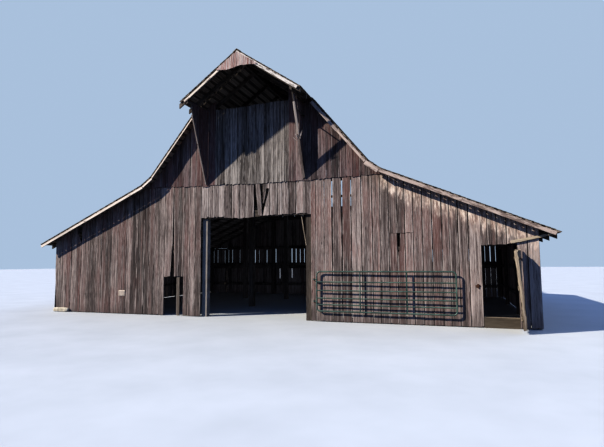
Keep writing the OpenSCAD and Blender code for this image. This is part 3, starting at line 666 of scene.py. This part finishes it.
B = Build()
J_gl = [-4.40, -4.08, -3.80, -3.53, -3.29, -3.07, -2.81, -2.55, -2.30, -2.03, -1.76, -1.5]
gable_boards(B, J_gl, GAB, .026, lap, tn=(0, .7))
nail_rows(GAB, J_gl, (4.85, 5.755), gtop, bot=4.7, d=.027)
B.make("gable_boards_left", [red_gable], replaces="front_gable_left", slot="red_gable_boards")
B = Build()
J_gr = [1.3, 1.55, 1.80, 2.05, 2.35, 2.62, 2.79, 3.06, 3.29, 3.49, 3.75, 4.05, 4.40]
gable_boards(B, J_gr, GAB, .026, lap, tn=(0, .5), gap=(.002, .005), gaps={7: .014})
nail_rows(GAB, J_gr, (4.85, 5.755), gtop, bot=4.7, d=.027)
B.make("gable_boards_right", [red_gable], replaces="front_gable_right", slot="red_gable_boards")

J_hay = [-1.5, -1.31, -1.11, -.83, -.63, -.36, -.2, .0, .25, .41, .59, .74, .96, 1.16, 1.3]
B = Build()
wall(B, GAB, J_hay, lap, lambda x: 7.41 + .02 * math.sin(x * 2.1), gap=(.004, .010), gaps={4: .015, 9: .012, 11: .012, 13: .02},
     tn=lambda i, x: tone(.0 + (.2 if i == 13 else 0) - (.25 if i in (0, 1) else 0), -.6 if i > 1 else .9, .2), rag=(.014, .006), d=(-.020, -.017), th=.016)
# a ledge behind the boards at the head of the door
board(B, plane((0, -MID, 0), (0, 0, 1), (1, 0, 0), (0, 1, 0)), [(7.22, -1.5), (7.36, -1.5), (7.36, 1.3), (7.22, 1.3)], th=.03, d=.03, tn=tone())
B.make("hay_door_boards", [grey_hay], replaces="hay_door", slot="grey_boards")

# ---------------------------------------------------------------- rear and side walls
REAR = plane((0, 12.2 - MID, 0), (1, 0, 0), (0, 0, 1), (0, 1, 0))
B = Build()
J_mid = [-4.83, -4.53, -4.22, -3.95, -3.69, -3.42, -3.15, -2.88, -2.61, -2.34, -2.08]
J_rear = [-8.82] + [v for v in np.arange(-8.61, -5.0, .27)] + J_mid + [v for v in np.arange(-1.81, 8.62, .27)] + [8.76]
for i in range(len(J_rear) - 1):
    g = []
    for k in (i, i + 1):
        x = J_rear[k]
        up = .020 if any(abs(x - v) < .02 for v in (-4.83, -4.22, -3.69, -3.42, -3.15, -2.88, -2.61, -2.34, -2.08)) else RNG.choice([.002, .004, .016], p=[.35, .3, .35])
        mid_ = .014 if any(abs(x - v) < .05 for v in (-3.95, -3.42, -3.15, -2.08)) else .0025
        if k in (0, len(J_rear) - 1):
            up = mid_ = 0
        g.append((up * (1 + .2 * math.sin(k * 7.)), mid_))
    x0, x1 = J_rear[i], J_rear[i + 1]
    lo = RNG.uniform(.84, .92, 2); hi = RNG.uniform(2.66, 2.74, 2)
    rows = [(.002, 0), (lo[0], 0), (lo[0] + .04, 2), (1.50, 2), (1.56, 0), (1.87, 0), (1.92, 1), (hi[0], 1), (hi[0] + .05, 0), (2.825, 0)]
    pick = lambda c, w: .002 if w == 0 else c[0] if w == 1 else c[1]
    board(B, REAR, None, shape=[(z, x0 + pick(g[0], w), x1 - pick(g[1], w)) for z, w in rows], tn=tone(0, .4), rag=(.001, .002), d=-RNG.uniform(0, .003), nr=4, edge=.001)
J_rear2 = [-8.82] + [v for v in random_joints(-8.57, -1.4, .22, .30)] + random_joints(-1.4, 1.4, .22, .30)[1:] + random_joints(1.4, 8.76, .22, .30)[1:]
def rear_up_top(x): return max(low_top(x), 2.86)
def rear_top(x): return 4.855 if abs(x) < 1.399 else low_top(x)
wall(B, REAR, J_rear2, lambda x: min(2.832, low_top(x) - .05), rear_top, gap=(.001, .003), tn=(0, .4), rag=(.002, .003))
nail_rows(REAR, J_rear, (.57, 1.7, 2.76), low_top); nail_rows(REAR, J_rear2, (2.88, 4.6), low_top, bot=2.85)
B.make("rear_boards", [red_left], replaces="rear_wall", slot="weathered_red_boards")
B = Build()
REAR_G = plane((0, 12.2 - MID, 0), (1, 0, 0), (0, 0, 1), (0, 1, 0))
for sgn in (-1, 1):
    J = random_joints(1.4, 4.40, .22, .30)
    J = J if sgn > 0 else [-x for x in J[::-1]]
    gable_boards(B, J, REAR_G, .026, lambda x: 4.64 + RNG.normal(0, .012), tn=(0, .6))
    nail_rows(REAR_G, J, (4.8, 5.7), gtop, bot=4.7, d=.027)
B.make("rear_gable_boards", [red_gable], replaces="rear_gables", slot="red_gable_boards")

B = Build()
for sgn in (-1, 1):
    pl = plane((-8.82 if sgn < 0 else 8.76, 0, 0), (0, 1, 0), (0, 0, 1), (sgn, 0, 0))
    J = random_joints(.03 - MID, 12.17 - MID, .20, .31)
    wall(B, pl, J, ground, lambda y: 2.680 if sgn < 0 else 2.706, gap=(.005, .016), tn=(0, .35 if sgn < 0 else .1), rag=(.02, .006), mat=0 if sgn < 0 else 1)
    nail_rows(pl, J, (.655, 1.655, 2.45), lambda y: 2.6)
red_side = wood("weathered_red_side", lin(52, 45, 42), lin(112, 98, 92), lin(170, 157, 150), red=.9, redcol=lin(116, 72, 62), white=.12)
B.make("side_boards", [red_left, red_side], replaces="side_walls", slot="weathered_red_boards")

# ---------------------------------------------------------------- roofs
def slope(lath, sheet, sh, side, a, b, y0, y1, lath_w=.165, step=.255, expo=.145, first=True, drop=.012):
    """One roof slope. a and b are (x, z) of its underside at the eave and at the top, y0 and y1 its ends."""
    a, b = A(*a), A(*b)
    L = np.linalg.norm(b - a); e = (b - a) / L; nn = A(-e[1], e[0])
    if nn[1] < 0:
        nn = -nn
    E, Nn, O = A(side * e[0], 0, e[1]), A(side * nn[0], 0, nn[1]), A(side * a[0], 0, a[1])
    pl = (O, E, A(0, 1, 0), Nn)
    k = .01
    while k < L - .03:
        w = min(lath_w + RNG.uniform(-.02, .02), L - k - .005)
        y = y0 + .012
        while y < y1 - .02:
            ln = RNG.uniform(2.8, 4.2); ye = y + ln if y + ln < y1 - 1. else y1 - .012
            board(lath, pl, [(k, y), (k + w, y), (k + w, ye - .004), (k, ye - .004)], th=.020, d=.020, nr=4, edge=.004, rag=(.004, .004), bevel=.002, cup=0)
            y = ye
        k += step
    board(sheet, pl, [(.004, y0 + .02), (L - .002, y0 + .02), (L - .002, y1 - .02), (.004, y1 - .02)], th=.0035, d=.0245, nr=12, edge=0, rag=(0, 0), bevel=0, cup=0)
    V, Fc, G, T, S = [], [], [], [], []
    n = 0; row = 0
    butts = list(np.arange(0 if first else .02, L - .02, expo))
    if first:
        butts = [0.] + butts
    for ci, d0 in enumerate(butts):
        y = y0 - RNG.uniform(0, .0)
        ws = []
        while y < y1 - .07:
            w = RNG.uniform(.075, .20); w = min(w, y1 - y)
            if y1 - (y + w) < .05:
                w = y1 - y
            ws.append((y, w)); y += w
        ys = A(*[q[0] for q in ws]); w = A(*[q[1] for q in ws]); m = len(ys)
        keep = RNG.random(m) > (drop if ci > 1 else 0); ys, w = ys[keep], w[keep]; m = len(ys)
        g = RNG.uniform(.003, .009, m)
        db = d0 + RNG.normal(0, .006, m) * (d0 > 0); db = np.clip(db, 0, L)
        dt = np.minimum(db + RNG.uniform(.33, .40, m), L)
        base = .0245
        lift = (.010 + np.abs(RNG.normal(0, .0025, m))) * (0 if (first and ci == 0) else 1)
        lift = np.minimum(lift, .018)
        tilt = RNG.normal(0, .0012, m)
        thk = RNG.uniform(.0075, .010, m)
        frac = (dt - db) / .36
        hb = base + lift; ht = base + lift * (1 - np.minimum(1, frac)) + .0005
        y_a, y_b = ys + g / 2, ys + w - g / 2
        y_a[0] = y0 + RNG.uniform(0, .010); y_b[-1] = y1 - RNG.uniform(0, .010)
        pts = []
        for (dd, hh, yy) in ((db, hb - tilt, y_a), (db, hb + tilt, y_b), (dt, ht, y_b), (dt, ht, y_a),
                             (db, hb + thk - tilt, y_a), (db, hb + thk + tilt, y_b), (dt, ht + .002, y_b), (dt, ht + .002, y_a)):
            pts.append(O + dd[:, None] * E + yy[:, None] * A(0, 1, 0) + hh[:, None] * Nn)
        v = np.stack(pts, 1).reshape(-1, 3)
        base_f = np.array([[4, 5, 6, 7], [3, 2, 1, 0], [0, 1, 5, 4], [1, 2, 6, 5], [2, 3, 7, 6], [3, 0, 4, 7]])
        if side > 0:
            base_f = base_f[:, ::-1]
        f = (base_f[None] + np.arange(m)[:, None, None] * 8).reshape(-1, 4)
        r = RNG.uniform(0, 30, (m, 1, 3))
        loc = np.stack([np.stack([0 * w, w, w, 0 * w] * 2, 1), np.stack([0 * w, 0 * w, dt - db, dt - db] * 2, 1), np.zeros((m, 8))], -1) + r
        st = np.stack([np.stack([0 * w, 1 + 0 * w, 1 + 0 * w, 0 * w] * 2, 1), np.stack([0 * w, 0 * w, (dt - db) / .36, (dt - db) / .36] * 2, 1), np.zeros((m, 8))], -1)
        tn = np.repeat(RNG.normal(0, 1, (m, 1, 3)), 8, 1)
        sh.v.append(v); sh.f.append(f + sh.n); sh.g.append(loc.reshape(-1, 3)); sh.t.append(tn.reshape(-1, 3)); sh.s.append(st.reshape(-1, 3))
        sh.m.append(np.zeros(len(f))); sh.n += len(v)


def joined(name, node, slopes, slot):
    sh, la, se = Build(), Build(), Build()
    for s in slopes:
        slope(la, se, sh, *s)
    sh.make(name + "_shingles", [shingles], replaces=node, slot=slot)
    for b, n, mt in ((la, "_lath", roof_lath), (se, "_underlay", roof_under)):
        b.make(name + n, [mt])


joined("upper_roof", "upper_roof", [(s, (2.262, r_up(2.262)), (.004, r_up(.004)), -.36 - MID, 12.597 - MID) for s in (-1, 1)]
       + [(s, (h, r_up(h)), (.004, r_up(.004)), -1.35 - MID, -.361 - MID) for s, h in ((-1, 2.122), (1, 2.176))], "roof_shingles")
joined("steep_roof", "steep_roofs", [(s, (4.015, r_st(4.015)), (2.25, r_st(2.25)), -.36 - MID, 12.597 - MID) for s in (-1, 1)]
       + [(s, (4.43, 4.742), (4.0, 5.056), -.36 - MID, 12.597 - MID) for s in (-1, 1)], "roof_shingles")
joined("lean_roof", "lean_roofs", [(s, (9.252, r_le(9.252)), (4.42, r_le(4.42)), -.36 - MID, 12.597 - MID) for s in (-1, 1)], "roof_shingles")

# ridge saddle boards
B = Build()
for sgn in (-1, 1):
    a, b = A(2.245, r_up(2.245)), A(.0, r_up(0))
    L = np.linalg.norm(b - a); e = (b - a) / L; nn = A(e[1], -e[0]); nn = nn if nn[1] > 0 else -nn
    pl = (A(sgn * a[0], 0, a[1]), A(sgn * e[0], 0, e[1]), A(0, 1, 0), A(sgn * nn[0], 0, nn[1]))
    y = -1.348 - MID
    while y < 12.585 - MID:
        ye = min(y + RNG.uniform(2.6, 3.8), 12.594 - MID)
        if 12.594 - MID - ye < 1.:
            ye = 12.594 - MID
        top = L + (.041 if sgn < 0 else .024)
        board(B, pl, [(L - .135, y), (top, y), (top, ye - .006), (L - .135, ye - .006)], th=.012, d=.0585, nr=6, edge=.004, tn=tone(-.2), bevel=.002)
        y = ye
B.make("ridge_saddle", [roof_lath])

# ---------------------------------------------------------------- rake boards
def rake(B, side, p, q, h, y, th=.024, n=1, mat=0, out=-1, lift=0., rag=.003):
    """A board on edge that follows the slope from p to q, (x, z) of its upper edge; h its height, measured square to it."""
    p, q = A(*p), A(*q)
    L = np.linalg.norm(q - p); e = (q - p) / L; dn = A(e[1], -e[0]); dn = dn if dn[1] < 0 else -dn
    O = A(side * p[0], y, p[1]); AZ = A(side * e[0], 0, e[1]); AX = A(side * dn[0], 0, dn[1])
    pl = (O, AX, AZ, A(0, out, 0))
    cuts = np.linspace(0, L, n + 1)
    for i in range(n):
        a, b = cuts[i] + (.003 if i else 0), cuts[i + 1] - (.003 if i < n - 1 else 0)
        board(B, pl, [(lift, a), (h + lift, a), (h + lift, b), (lift, b)], th=th, d=RNG.uniform(-.002, 0), edge=.003, rag=(rag, rag), nr=int(max(4, (b - a) / .3)), mat=mat, bow=RNG.normal(0, .002))


cs_u, cs_s, cs_f, cs_l = math.cos(math.atan(.6971)), math.cos(math.atan(1.2182)), math.cos(math.atan(.7317)), math.cos(math.atan(.436))
B = Build()
rake(B, -1, (2.008, r_up(2.008) - .002), (.002, r_up(.002) - .002), .072, -1.35 - MID, mat=0, lift=.044)
rake(B, -1, (2.008, r_up(2.008) - .002), (.002, r_up(.002) - .002), .122 * cs_u, -1.327 - MID, th=.018, mat=1)
rake(B, 1, (2.110, r_up(2.110) - .002), (.002, r_up(.002) - .002), .122 * cs_u, -1.35 - MID, mat=2)
B.make("hood_rake_boards", [cream, timber_b, hood_white], replaces="hood_barge", slot="pale_trim")


def rakes(B, y, out, left, right):
    for sgn, mats, h, lf in ((-1, left, .093, .020), (1, right, .157, .002)):
        if sgn < 0:
            rake(B, sgn, (3.998, r_st(3.998) - .002), (2.264, r_st(2.264) - .002), h * cs_s - .016, y, mat=mats[0], out=out, lift=.016)
        else:
            rake(B, sgn, (3.998, r_st(3.998) - .002), (3.12, r_st(3.12) - .002), h * cs_s * .8, y, mat=mats[0], out=out, lift=.008)
            rake(B, sgn, (3.115, r_st(3.115) - .002), (2.264, r_st(2.264) - .002), h * cs_s, y, mat=mats[3], out=out, lift=.004)
        rake(B, sgn, (4.405, 4.753), (4.002, 5.048), (h + .02) * cs_f - lf, y, mat=mats[1], out=out, lift=lf)
        end = 9.245 if sgn < 0 else 9.16
        rake(B, sgn, (end, r_le(end) - .002), (4.413, r_le(4.413) - .002), .118 * cs_l - lf, y, n=1 if sgn < 0 else 2, mat=mats[2], out=out, lift=lf)


B = Build()
rakes(B, -.36 - MID, -1, (0, 0, 0), (1, 1, 1, 2))
B.make("front_rake_boards", [cream, grey_cream, rake_grey], replaces="front_barge", slot="pale_trim")
B = Build()
rakes(B, 12.597 - MID, 1, (1, 1, 1), (0, 1, 1, 1))
for sgn in (-1, 1):
    rake(B, sgn, (2.186, r_up(2.186) - .002), (.022, r_up(.022) - .002), .138 * cs_u, 12.597 - MID, mat=1, out=1)
B.make("rear_rake_boards", [cream, grey_cream], replaces="rear_barge", slot="pale_trim")

# ---------------------------------------------------------------- hay hood
HOOD = plane((0, -1.35 - MID, 0), (1, 0, 0), (0, 0, 1), (0, -1, 0))
B = Build()
px = [-.72, -.38, -.13, .19, .42, .74]; pz = [8.235, 8.185, 8.225, 8.265, 8.255, 8.225]
J = [-.72, -.58, -.46, -.34, -.22, -.10, .02, .12, .24, .36, .49, .62, .74]
for i in range(len(J) - 1):
    x0, x1 = J[i] + .002, J[i + 1] - .002
    zb0, zb1 = [float(np.interp(x, px, pz)) + RNG.normal(0, .006) for x in (x0, x1)]
    zt0, zt1 = [r_up(x) - .03 for x in (x0, x1)]
    zt0, zt1 = max(zt0, zb0 + .004), max(zt1, zb1 + .004)
    w = .9 if -.45 < (x0 + x1) / 2 < .25 else .1
    board(B, HOOD, [(x0, zb0), (x1, zb1), (x1, zt1), (x0, zt0)], th=.018, d=.020 - RNG.uniform(0, .004), tn=tone(.2, .4, w), rag=(.006, 0), nr=4, bevel=.002)
B.make("hood_peak_boarding", [red_peak], replaces="hood_peak_boards", slot="red_gable_boards")

B = Build()
wt = r_up(1.825) - .154
for sgn in (-1, 1):
    pl = plane((sgn * 1.80, -MID, 0), (0, -1, 0), (0, 0, 1), (-sgn, 0, 0))
    cuts = (.032, .19, .34, .52, .68, .85, 1.058) if sgn < 0 else (.032, .190, .365)
    for i in range(len(cuts) - 1):
        y0, y1 = cuts[i] + (.003 if i else 0), cuts[i + 1] - .003
        zb = [4.655 + 2.385 * (v - .03) for v in (y0, y1)]
        board(B, pl, [(y0, zb[0]), (y1, zb[1]), (y1, wt), (y0, wt)], th=.022, d=-.001, tn=tone(0, .9), rag=(.012, .003), edge=.004)
    if sgn > 0:
        for y0, y1 in ((.371, .50), (.505, .648)):
            board(B, pl, [(y0, 6.69 + (y0 - .365) * 1.82), (y1, 6.69 + (y1 - .365) * 1.82), (y1, wt), (y0, wt)], th=.022, d=-.001, tn=tone(0, .8), rag=(.02, .003), edge=.004)
B.make("hood_wing_boards", [red_gable], replaces="hood_wings", slot="red_gable_boards")

B = Build()
zt = r_up(1.865) - .254
for sgn in (-1, 1):
    pl = plane((sgn * 1.865, -MID, 0), (0, -1, 0), (0, 0, 1), (sgn, 0, 0))
    board(B, pl, [(.032, 4.665), (.032, 4.895), (.03 + (zt - 4.9) / 2.355, zt), (.03 + (zt - 4.665) / 2.355, zt)], th=.036, d=-.002, tn=tone(.1, -1), rag=(.0, .004), nr=10, bow=.003, nc=6)
    # a lath along the strut's outer edge, split and splintered at half height
    n_ = math.hypot(1, 2.355); E = A(0, -1, 2.355) / n_; Ln = (zt - 4.665) / 2.355 * n_
    pl2 = (A(sgn * 1.865, -MID - .032, 4.665), A(1, 0, 0), E, A(0, -2.355, -1) / n_)
    hw = .042 if sgn > 0 else .026
    board(B, pl2, [(-hw, .04), (hw * .7, .03), (hw * .9, Ln * .50), (-hw * 1.1, Ln * .52)], th=.016, d=.018, tn=tone(.6, -1, .5), rag=(.02, .015), edge=.005, nr=8)
    board(B, pl2, [(-hw * .9, Ln * .53), (hw, Ln * .505), (hw * .9, Ln - .30), (-hw, Ln - .30)], th=.016, d=.019, tn=tone(.3, -1, .2), rag=(.02, .004), edge=.005, nr=8)
    if sgn > 0:
        for k, (a0, b0, sl) in enumerate(((-.10, .455, -.09), (-.055, .49, -.05), (.035, .475, .05), (.06, .50, .09), (.0, .52, .02), (-.075, .535, .03))):
            ls = RNG.uniform(.12, .22); c0 = Ln * b0
            board(B, pl2, [(a0, c0), (a0 + .026, c0 - .01), (a0 + .018 + sl, c0 + ls), (a0 + sl, c0 + ls * .9)], th=.008, d=.030 + .003 * k, tn=A(1.8, -1, 1.2), rag=(.01, .01), edge=.004, nr=4)
    box_piece(B, (1.867 * sgn if sgn > 0 else -1.888, -MID - .888, 6.762), (1.888 if sgn > 0 else -1.867, -MID - .032, 6.798), along=1, tn=tone(-.2, -1), mat=1)
B.make("hood_strut_planks", [grey_strut, timber_b], replaces="hood_struts", slot="grey_boards")

# ---------------------------------------------------------------- side door: leaf, sill, rough header plank
ang = math.radians(80)
lx_, ly_ = A(math.cos(ang), math.sin(ang), 0), A(-math.sin(ang), math.cos(ang), 0)
AXIS = A(8.265, -.028 - MID, 0)


def warp_leaf(ob):
    """The old leaf is twisted: its head leans back towards the doorway, its foot stands out."""
    for v in ob.data.vertices:
        z = v.co.z
        a = math.radians(-5.2 * (z - 1.14) / 1.09 if z > 1.14 else 4. * (1.14 - z) / 1.01)
        x, y = v.co.x - AXIS[0], v.co.y - AXIS[1]
        v.co.x = AXIS[0] + x * math.cos(a) - y * math.sin(a); v.co.y = AXIS[1] + x * math.sin(a) + y * math.cos(a)
    ob.data.update()


B = Build()
leaf = (AXIS, -lx_, A(0, 0, 1), ly_)
JL = [.020, .215, .40, .60, .80, 1.008]
for i in range(5):
    x0, x1 = JL[i] + (.004 if i else 0), JL[i + 1] - (.004 if i < 4 else 0)
    z0, z1 = .083 + RNG.uniform(0, .04), 2.205 - RNG.uniform(0, .04)
    if i == 4:      # a rough slab with its bark edge forms the free stile
        board(B, leaf, [(x0, z0), (.880, z0), (.880, z1), (x0, z1)], th=.028, d=.014, tn=tone(.0, -.4), rag=(.02, .02), nr=14, edge=.004)
        zs = np.r_[z0, np.sort(RNG.uniform(.12, 2.15, 22)), z1]
        wv = .010 * np.sin(zs * 4.1 + 1.) + .006 * np.sin(zs * 11.)
        board(B, (AXIS - lx_ * 1.008, ly_, A(0, 0, 1), -lx_), None, shape=[(z, -.084 + wv[k] + RNG.normal(0, .009), .012 - abs(RNG.normal(0, .010))) for k, z in enumerate(zs)],
              th=.124, d=0, tn=tone(-.3, -1), rag=(.012, .02), nr=20, edge=.003, cup=-.006)
    else:
        board(B, leaf, [(x0, z0), (x1, z0), (x1, z1), (x0, z1)], th=.028, d=.014, tn=tone(.0, -.4), rag=(.02, .02), nr=14, edge=.004)
inner = (AXIS, A(0, 0, 1), -lx_, ly_)
for zc in (.40, 1.18, 1.96):
    board(B, inner, [(zc - .058, .113), (zc + .058, .113), (zc + .058, .922), (zc - .058, .922)], th=.022, d=.0375, tn=tone(.1, -1), rag=(.006, .012), edge=.004, nr=10)
warp_leaf(B.make("side_door_boards", [grey_leaf], body="side_door", replaces="side_door_leaf", slot="grey_boards"))

src_ob = nodes["side_door_straps"]
me = src_ob.data.copy(); me.name = "side_door_strap_hinges"; me.transform(src_ob.matrix_world); me.materials.clear(); me.materials.append(iron)
straps = bpy.data.objects.new("side_door_strap_hinges", me); bpy.context.scene.collection.objects.link(straps)
warp_leaf(straps)
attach(straps, "side_door"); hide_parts("side_door_straps")

B = Build()
box_piece(B, (7.252, -MID + .002, .225), (8.188, .158 - MID, .298), along=0, tn=tone(.6, -1))
box_piece(B, (7.252, -MID + .004, .0), (8.188, .05 - MID, .224), along=0, tn=tone(.3, -1))
B.make("side_sill_planks", [grey_leaf], replaces="side_door_sill", slot="grey_boards")

B = Build()
e = A(1.05, 0, .1875); e /= np.linalg.norm(e); up = A(-e[2], 0, e[0])
pl = (F(8.04, 0, 2.4375), up, e, A(0, -1, 0))
board(B, pl, [(-.041, 0), (.041, 0), (.029, 1.062), (-.029, 1.062)], th=.054, d=.056, tn=tone(1.4, -1), rag=(.012, .012), edge=.010, nr=14, jag=(.004, .004), bevel=.008)
B.make("rough_header_plank", [grey_leaf], replaces="header_pole", slot="grey_boards")

# ---------------------------------------------------------------- small things on the front
B = Build()
board(B, FRONT, [(7.06, 1.150), (7.19, 1.160), (7.19, 1.205), (7.06, 1.215)], th=.007, d=.012, rag=(.003, .003), nr=3)
board(B, FRONT, [(7.10, 1.120), (7.15, 1.120), (7.15, 1.245), (7.10, 1.245)], th=.010, d=.026, rag=(.004, .004), nr=4)
B.make("door_hasp", [iron])
B = Build()
board(B, FRONT_IN, [(-3.088, .005), (-2.952, .005), (-2.955, 1.525), (-3.085, 1.525)], th=.022, d=-.002, tn=tone(.2, -1), rag=(.006, .006))
B.make("stock_door_loose_plank", [grey_post], replaces="stock_door_plank", slot="grey_boards")
B = Build()
pl = plane((0, .099 - MID, 0), (1, 0, 0), (0, 0, 1), (0, -1, 0))
board(B, pl, [(1.862, 2.45), (1.888, 2.452), (1.80, 2.95), (1.772, 2.95)], th=.011, d=.012, tn=tone(.5, -1), rag=(.006, 0), nr=5)
board(B, pl, [(1.772, 2.95), (1.80, 2.95), (1.724, 3.468), (1.692, 3.468)], th=.011, d=.012, tn=tone(.5, -1), rag=(0, .002), nr=5)
B.make("hanging_lath_strip", [grey_leaf], replaces="hanging_lath", slot="grey_boards")


def solid_grid(lo, hi, n, push, name, mat, replaces, slot, smooth=True):
    """A block with rounded, uneven faces: the box's surface cut into n cells each way, pushed by a function of place."""
    B = Build(); lo, hi = A(*lo), A(*hi)
    for ax in range(3):
        u, w = [i for i in range(3) if i != ax]
        for end in (0, 1):
            us, ws = np.linspace(0, 1, n[u] + 1), np.linspace(0, 1, n[w] + 1)
            U, Wd = np.meshgrid(us, ws, indexing="ij")
            P = np.zeros(U.shape + (3,)); P[..., u] = lo[u] + (hi[u] - lo[u]) * U; P[..., w] = lo[w] + (hi[w] - lo[w]) * Wd
            P[..., ax] = (lo, hi)[end][ax]
            P = P.reshape(-1, 3)
            i = (np.arange(n[u])[:, None] * (n[w] + 1) + np.arange(n[w])[None]).ravel()
            f = np.stack([i, i + n[w] + 1, i + n[w] + 2, i + 1], 1)
            if (end == 0) == (ax != 1):
                f = f[:, ::-1]
            B.add(push(P), f, P, A(0, 0, 0), P * 0)
    ob = B.make(name, [mat], replaces=replaces, slot=slot)
    bm_merge(ob); ob.data.shade_smooth()
    return ob


def bm_merge(ob):
    import bmesh
    bm = bmesh.new(); bm.from_mesh(ob.data)
    bmesh.ops.remove_doubles(bm, verts=bm.verts, dist=.0004)
    bmesh.ops.recalc_face_normals(bm, faces=bm.faces)
    bm.to_mesh(ob.data); bm.free()


def stone_push(P):
    c = A(-8.36, -.0625 - MID, .085); hw = A(.40, .0575, .085)
    q = (P - c) / hw
    ln = (np.abs(q) ** 5).sum(1) ** (1 / 5)
    q = q / np.maximum(ln, 1e-6)[:, None] * np.max(np.abs(q), 1)[:, None]
    w = .94 + .05 * np.sin(P[:, :1] * 21 + P[:, 2:] * 13) * np.cos(P[:, :1] * 9 - P[:, 2:] * 17)
    q = q * A(1, 1, 1) * np.concatenate([w, w, np.where(q[:, 2:] < -.9, 1., w)], 1)
    q[:, 2] = np.maximum(q[:, 2], -1)
    return c + q * hw


solid_grid((-8.76, -.12 - MID, 0), (-7.96, -.005 - MID, .17), (24, 6, 8), stone_push, "corner_stone", stone, "corner_footing", "stone")


def plate_push(P):
    P = P.copy()
    P[:, 1] -= .004 * np.maximum(0, (P[:, 0] + 5.40) / .07) ** 2 * (P[:, 2] > .8)
    return P


solid_grid((-5.64, -.004 - MID, .66), (-5.33, -.0005 - MID, .88), (10, 1, 8), plate_push, "blank_wall_plate", plate_m, "wall_plate", "plate_metal", smooth=False)
nails(FRONT, [(-5.62, .68), (-5.35, .68), (-5.62, .86), (-5.35, .86)], d=.004)
if nail.n:
    nail.make("nail_heads", [iron])

# ---------------------------------------------------------------- stage
me = bpy.data.meshes.new("floor")
me.from_pydata([(-150, -150, 0), (150, -150, 0), (150, 150, 0), (-150, 150, 0)], [], [(0, 1, 2, 3)])
floor = bpy.data.objects.new("floor", me)
bpy.context.scene.collection.objects.link(floor)
fm = Mat("studio_floor", .9, spec=.1)
fn = fm.noise(fm.map(fm.obj(), (.6, .6, .6)), detail=3)
fm.color(fm.ramp(fn, (.3, (.40, .41, .42)), (.7, (.44, .45, .46))))
me.materials.append(fm.m)
floor.visible_diffuse = False

w = bpy.data.worlds.new("studio"); bpy.context.scene.world = w; w.use_nodes = True
bg = w.node_tree.nodes["Background"]
# soft cool light from above, a little from below, in front of a plain pale backdrop
wn, wl = w.node_tree.nodes, w.node_tree.links
tc, sx, mr, lp = wn.new("ShaderNodeTexCoord"), wn.new("ShaderNodeSeparateXYZ"), wn.new("ShaderNodeMapRange"), wn.new("ShaderNodeLightPath")
m1, m2 = wn.new("ShaderNodeMix"), wn.new("ShaderNodeMix")
for q in (m1, m2):
    q.data_type = "RGBA"
mr.inputs["From Min"].default_value = -.05; mr.inputs["From Max"].default_value = .10
wl.new(tc.outputs["Generated"], sx.inputs[0]); wl.new(sx.outputs[2], mr.inputs["Value"]); wl.new(mr.outputs[0], m1.inputs["Factor"])
m1.inputs[6].default_value = (.12, .14, .19, 1); m1.inputs[7].default_value = (.215, .385, .84, 1)
wl.new(lp.outputs["Is Camera Ray"], m2.inputs["Factor"]); wl.new(m1.outputs[2], m2.inputs[6]); m2.inputs[7].default_value = (.50, .62, .78, 1)
wl.new(m2.outputs[2], bg.inputs[0]); bg.inputs[1].default_value = 1.
sun = bpy.data.lights.new("key", "SUN"); sun.energy = 8.4; sun.angle = math.radians(1.2); sun.color = (1., .94, .81)
so = bpy.data.objects.new("key", sun); bpy.context.scene.collection.objects.link(so)
az, el = math.radians(56.1), math.radians(33.6)
src = Vector((-math.sin(az) * math.cos(el), -math.cos(az) * math.cos(el), math.sin(el)))
so.rotation_euler = (-src).to_track_quat("-Z", "Y").to_euler()

# weak soft fill from behind and right, for the sides that the key doesn't reach
fill = bpy.data.lights.new("fill", "SUN"); fill.energy = 1.1; fill.angle = math.radians(60); fill.color = (.86, .93, 1.)
fo = bpy.data.objects.new("fill", fill); bpy.context.scene.collection.objects.link(fo)
fo.rotation_euler = (-Vector((.60, .58, .55))).to_track_quat("-Z", "Y").to_euler()

cam = bpy.data.cameras.new("cam"); co = bpy.data.objects.new("cam", cam); bpy.context.scene.collection.objects.link(co)
cam.sensor_fit = "HORIZONTAL"; cam.sensor_width = 36; cam.lens = 452.157 / 604 * 36
yaw, pit, rol = .335444, .0862066, .00566424
rt, fh = Vector((math.cos(yaw), math.sin(yaw), 0)), Vector((-math.sin(yaw), math.cos(yaw), 0))
fw = math.cos(pit) * fh + math.sin(pit) * Vector((0, 0, 1)); up = -math.sin(pit) * fh + math.cos(pit) * Vector((0, 0, 1))
cx = math.cos(rol) * rt - math.sin(rol) * up; cy = math.sin(rol) * rt + math.cos(rol) * up
m = Matrix((cx, cy, -fw)).transposed().to_4x4(); m.translation = Vector((6.6667, -14.0714 - MID, 1.884))
co.matrix_world = m
cam.clip_end = 500
bpy.context.scene.camera = co
bpy.context.scene.view_settings.view_transform = "Standard"
bpy.context.scene.view_settings.gamma = .75
